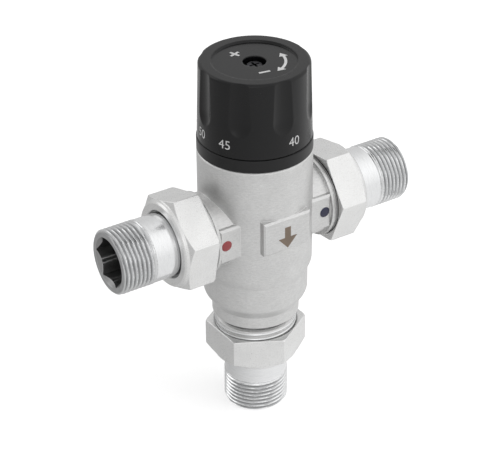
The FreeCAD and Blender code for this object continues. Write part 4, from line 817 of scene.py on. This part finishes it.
FLOOR_RADIUS = 3
FLOOR_GAP = 0.2 * MM
FLOOR_PALE = (0.9, 0.9, 0.9)
FLOOR_DARKER = (0.86, 0.86, 0.86)
FLOOR_OWN_LIGHT = 0.5
FLOOR_BASE, FLOOR_SWING = 0.84, 0.24
FLOOR_SIDE = direction(-55, 0)
SKY_BASE, SKY_SWING = 0.85, 0.2
SKY_SIDE = direction(-55, 20)
SKY_PLAIN = 0.5
GLOW, GLOW_SHARPNESS = 0.3, 3
GLOW_SIDE = direction(-38, 44)
STRIP_GLOW, STRIP_SHARPNESS = 0.9, 30
STRIP_SIDE = direction(-125, 20)

# The floor: pale where the camera sees it, and where the metal mirrors it a glow of painted light, brighter
# towards the front right.
floor = disc("floor", FLOOR_RADIUS, cad_box[0].z - FLOOR_GAP)
floor_look = Look("floor_look", 0, FLOOR_PALE)
mottle = floor_look.spread(floor_look.noise(30, 3), 0, 1)
floor_look.feed("Base Color", floor_look.blend(mottle, FLOOR_DARKER, FLOOR_PALE))
floor_look.shader.inputs["Roughness"].default_value = 0.9
floor_look.shader.inputs["Specular IOR Level"].default_value = 0.0
floor_look.shader.inputs["Emission Color"].default_value = (1, 1, 1, 1)
tree = floor_look.tree
by_camera, by_mirror = seen_by(tree)
floor_look.feed("Emission Strength", math_node(tree, "MULTIPLY", by_camera, FLOOR_OWN_LIGHT))
mirrored_floor = tree.nodes.new("ShaderNodeEmission")
mirrored_light = gradient(tree, floor_look.place, FLOOR_SIDE, FLOOR_BASE, FLOOR_SWING)
tree.links.new(mirrored_light, mirrored_floor.inputs["Strength"])
choose = tree.nodes.new("ShaderNodeMixShader")
tree.links.new(by_mirror, choose.inputs[0])
tree.links.new(floor_look.shader.outputs[0], choose.inputs[1])
tree.links.new(mirrored_floor.outputs[0], choose.inputs[2])
tree.links.new(choose.outputs[0], tree.nodes["Material Output"].inputs["Surface"])
floor.data.materials.append(floor_look.material)

# The sky: white to the camera, plain as light, and a gradient with two soft lights in mirrors.
world = bpy.data.worlds.new("studio")
scene.world = world
world.use_nodes = True
tree = world.node_tree
background = tree.nodes["Background"]
background.inputs["Color"].default_value = (1, 1, 1, 1)
by_camera, by_mirror = seen_by(tree)
towards_sky = tree.nodes.new("ShaderNodeTexCoord").outputs["Generated"]
sky = gradient(tree, towards_sky, SKY_SIDE, SKY_BASE, SKY_SWING)
sky = add_glow(tree, towards_sky, GLOW_SIDE, GLOW_SHARPNESS, GLOW, sky)
sky = add_glow(tree, towards_sky, STRIP_SIDE, STRIP_SHARPNESS, STRIP_GLOW, sky)
level = math_node(tree, "MULTIPLY", by_mirror, sky)
plain = math_node(tree, "MULTIPLY", math_node(tree, "SUBTRACT", 1, by_mirror), SKY_PLAIN)
level = math_node(tree, "ADD", level, plain)
level = math_node(tree, "MAXIMUM", level, by_camera)
tree.links.new(level, background.inputs["Strength"])


def area_lamp(name, place, target, size, power):
    """A round lamp of size metres and power watts, turned to the target."""
    data = bpy.data.lights.new(name, "AREA")
    data.shape = "DISK"
    data.size = size
    data.energy = power
    lamp = bpy.data.objects.new(name, data)
    lamp.location = place
    lamp.rotation_euler = (Vector(target) - Vector(place)).to_track_quat("-Z", "Y").to_euler()
    scene.collection.objects.link(lamp)
    return lamp


CENTRE = (0, 0, RUN_HEIGHT)
key_lamp = area_lamp("key_lamp", (0.9, -0.7, 1.1), CENTRE, 1.7, 9)
key_lamp.visible_glossy = False
area_lamp("back_lamp", (-0.73, 1.14, 1.05), CENTRE, 1.2, 3)

# The camera: on the front left and above, looking down at the middle of the valve.
AZIMUTH = math.radians(32.73)
ELEVATION = math.radians(31.69)
ROLL = math.radians(-0.34)
DISTANCE = 0.7523
AIM_SIDE = -2.06 * MM
AIM_HEIGHT = 83.36 * MM
LENS = 134.6
level_part = math.cos(ELEVATION)
away = Vector((-math.sin(AZIMUTH) * level_part, -math.cos(AZIMUTH) * level_part, math.sin(ELEVATION)))
right = Vector((math.cos(AZIMUTH), -math.sin(AZIMUTH), 0))
up = away.cross(right)
aim = right * AIM_SIDE + Vector((0, 0, AIM_HEIGHT))
rolled_right = right * math.cos(ROLL) + up * math.sin(ROLL)
rolled_up = up * math.cos(ROLL) - right * math.sin(ROLL)
camera_data = bpy.data.cameras.new("camera")
camera_data.sensor_width = 36
camera_data.lens = LENS
camera_data.clip_start = 0.01
camera = bpy.data.objects.new("camera", camera_data)
camera_place = Matrix((rolled_right, rolled_up, away)).transposed().to_4x4()
camera_place.translation = aim + away * DISTANCE
camera.matrix_world = camera_place
scene.collection.objects.link(camera)
scene.camera = camera
scene.view_settings.view_transform = "Standard"
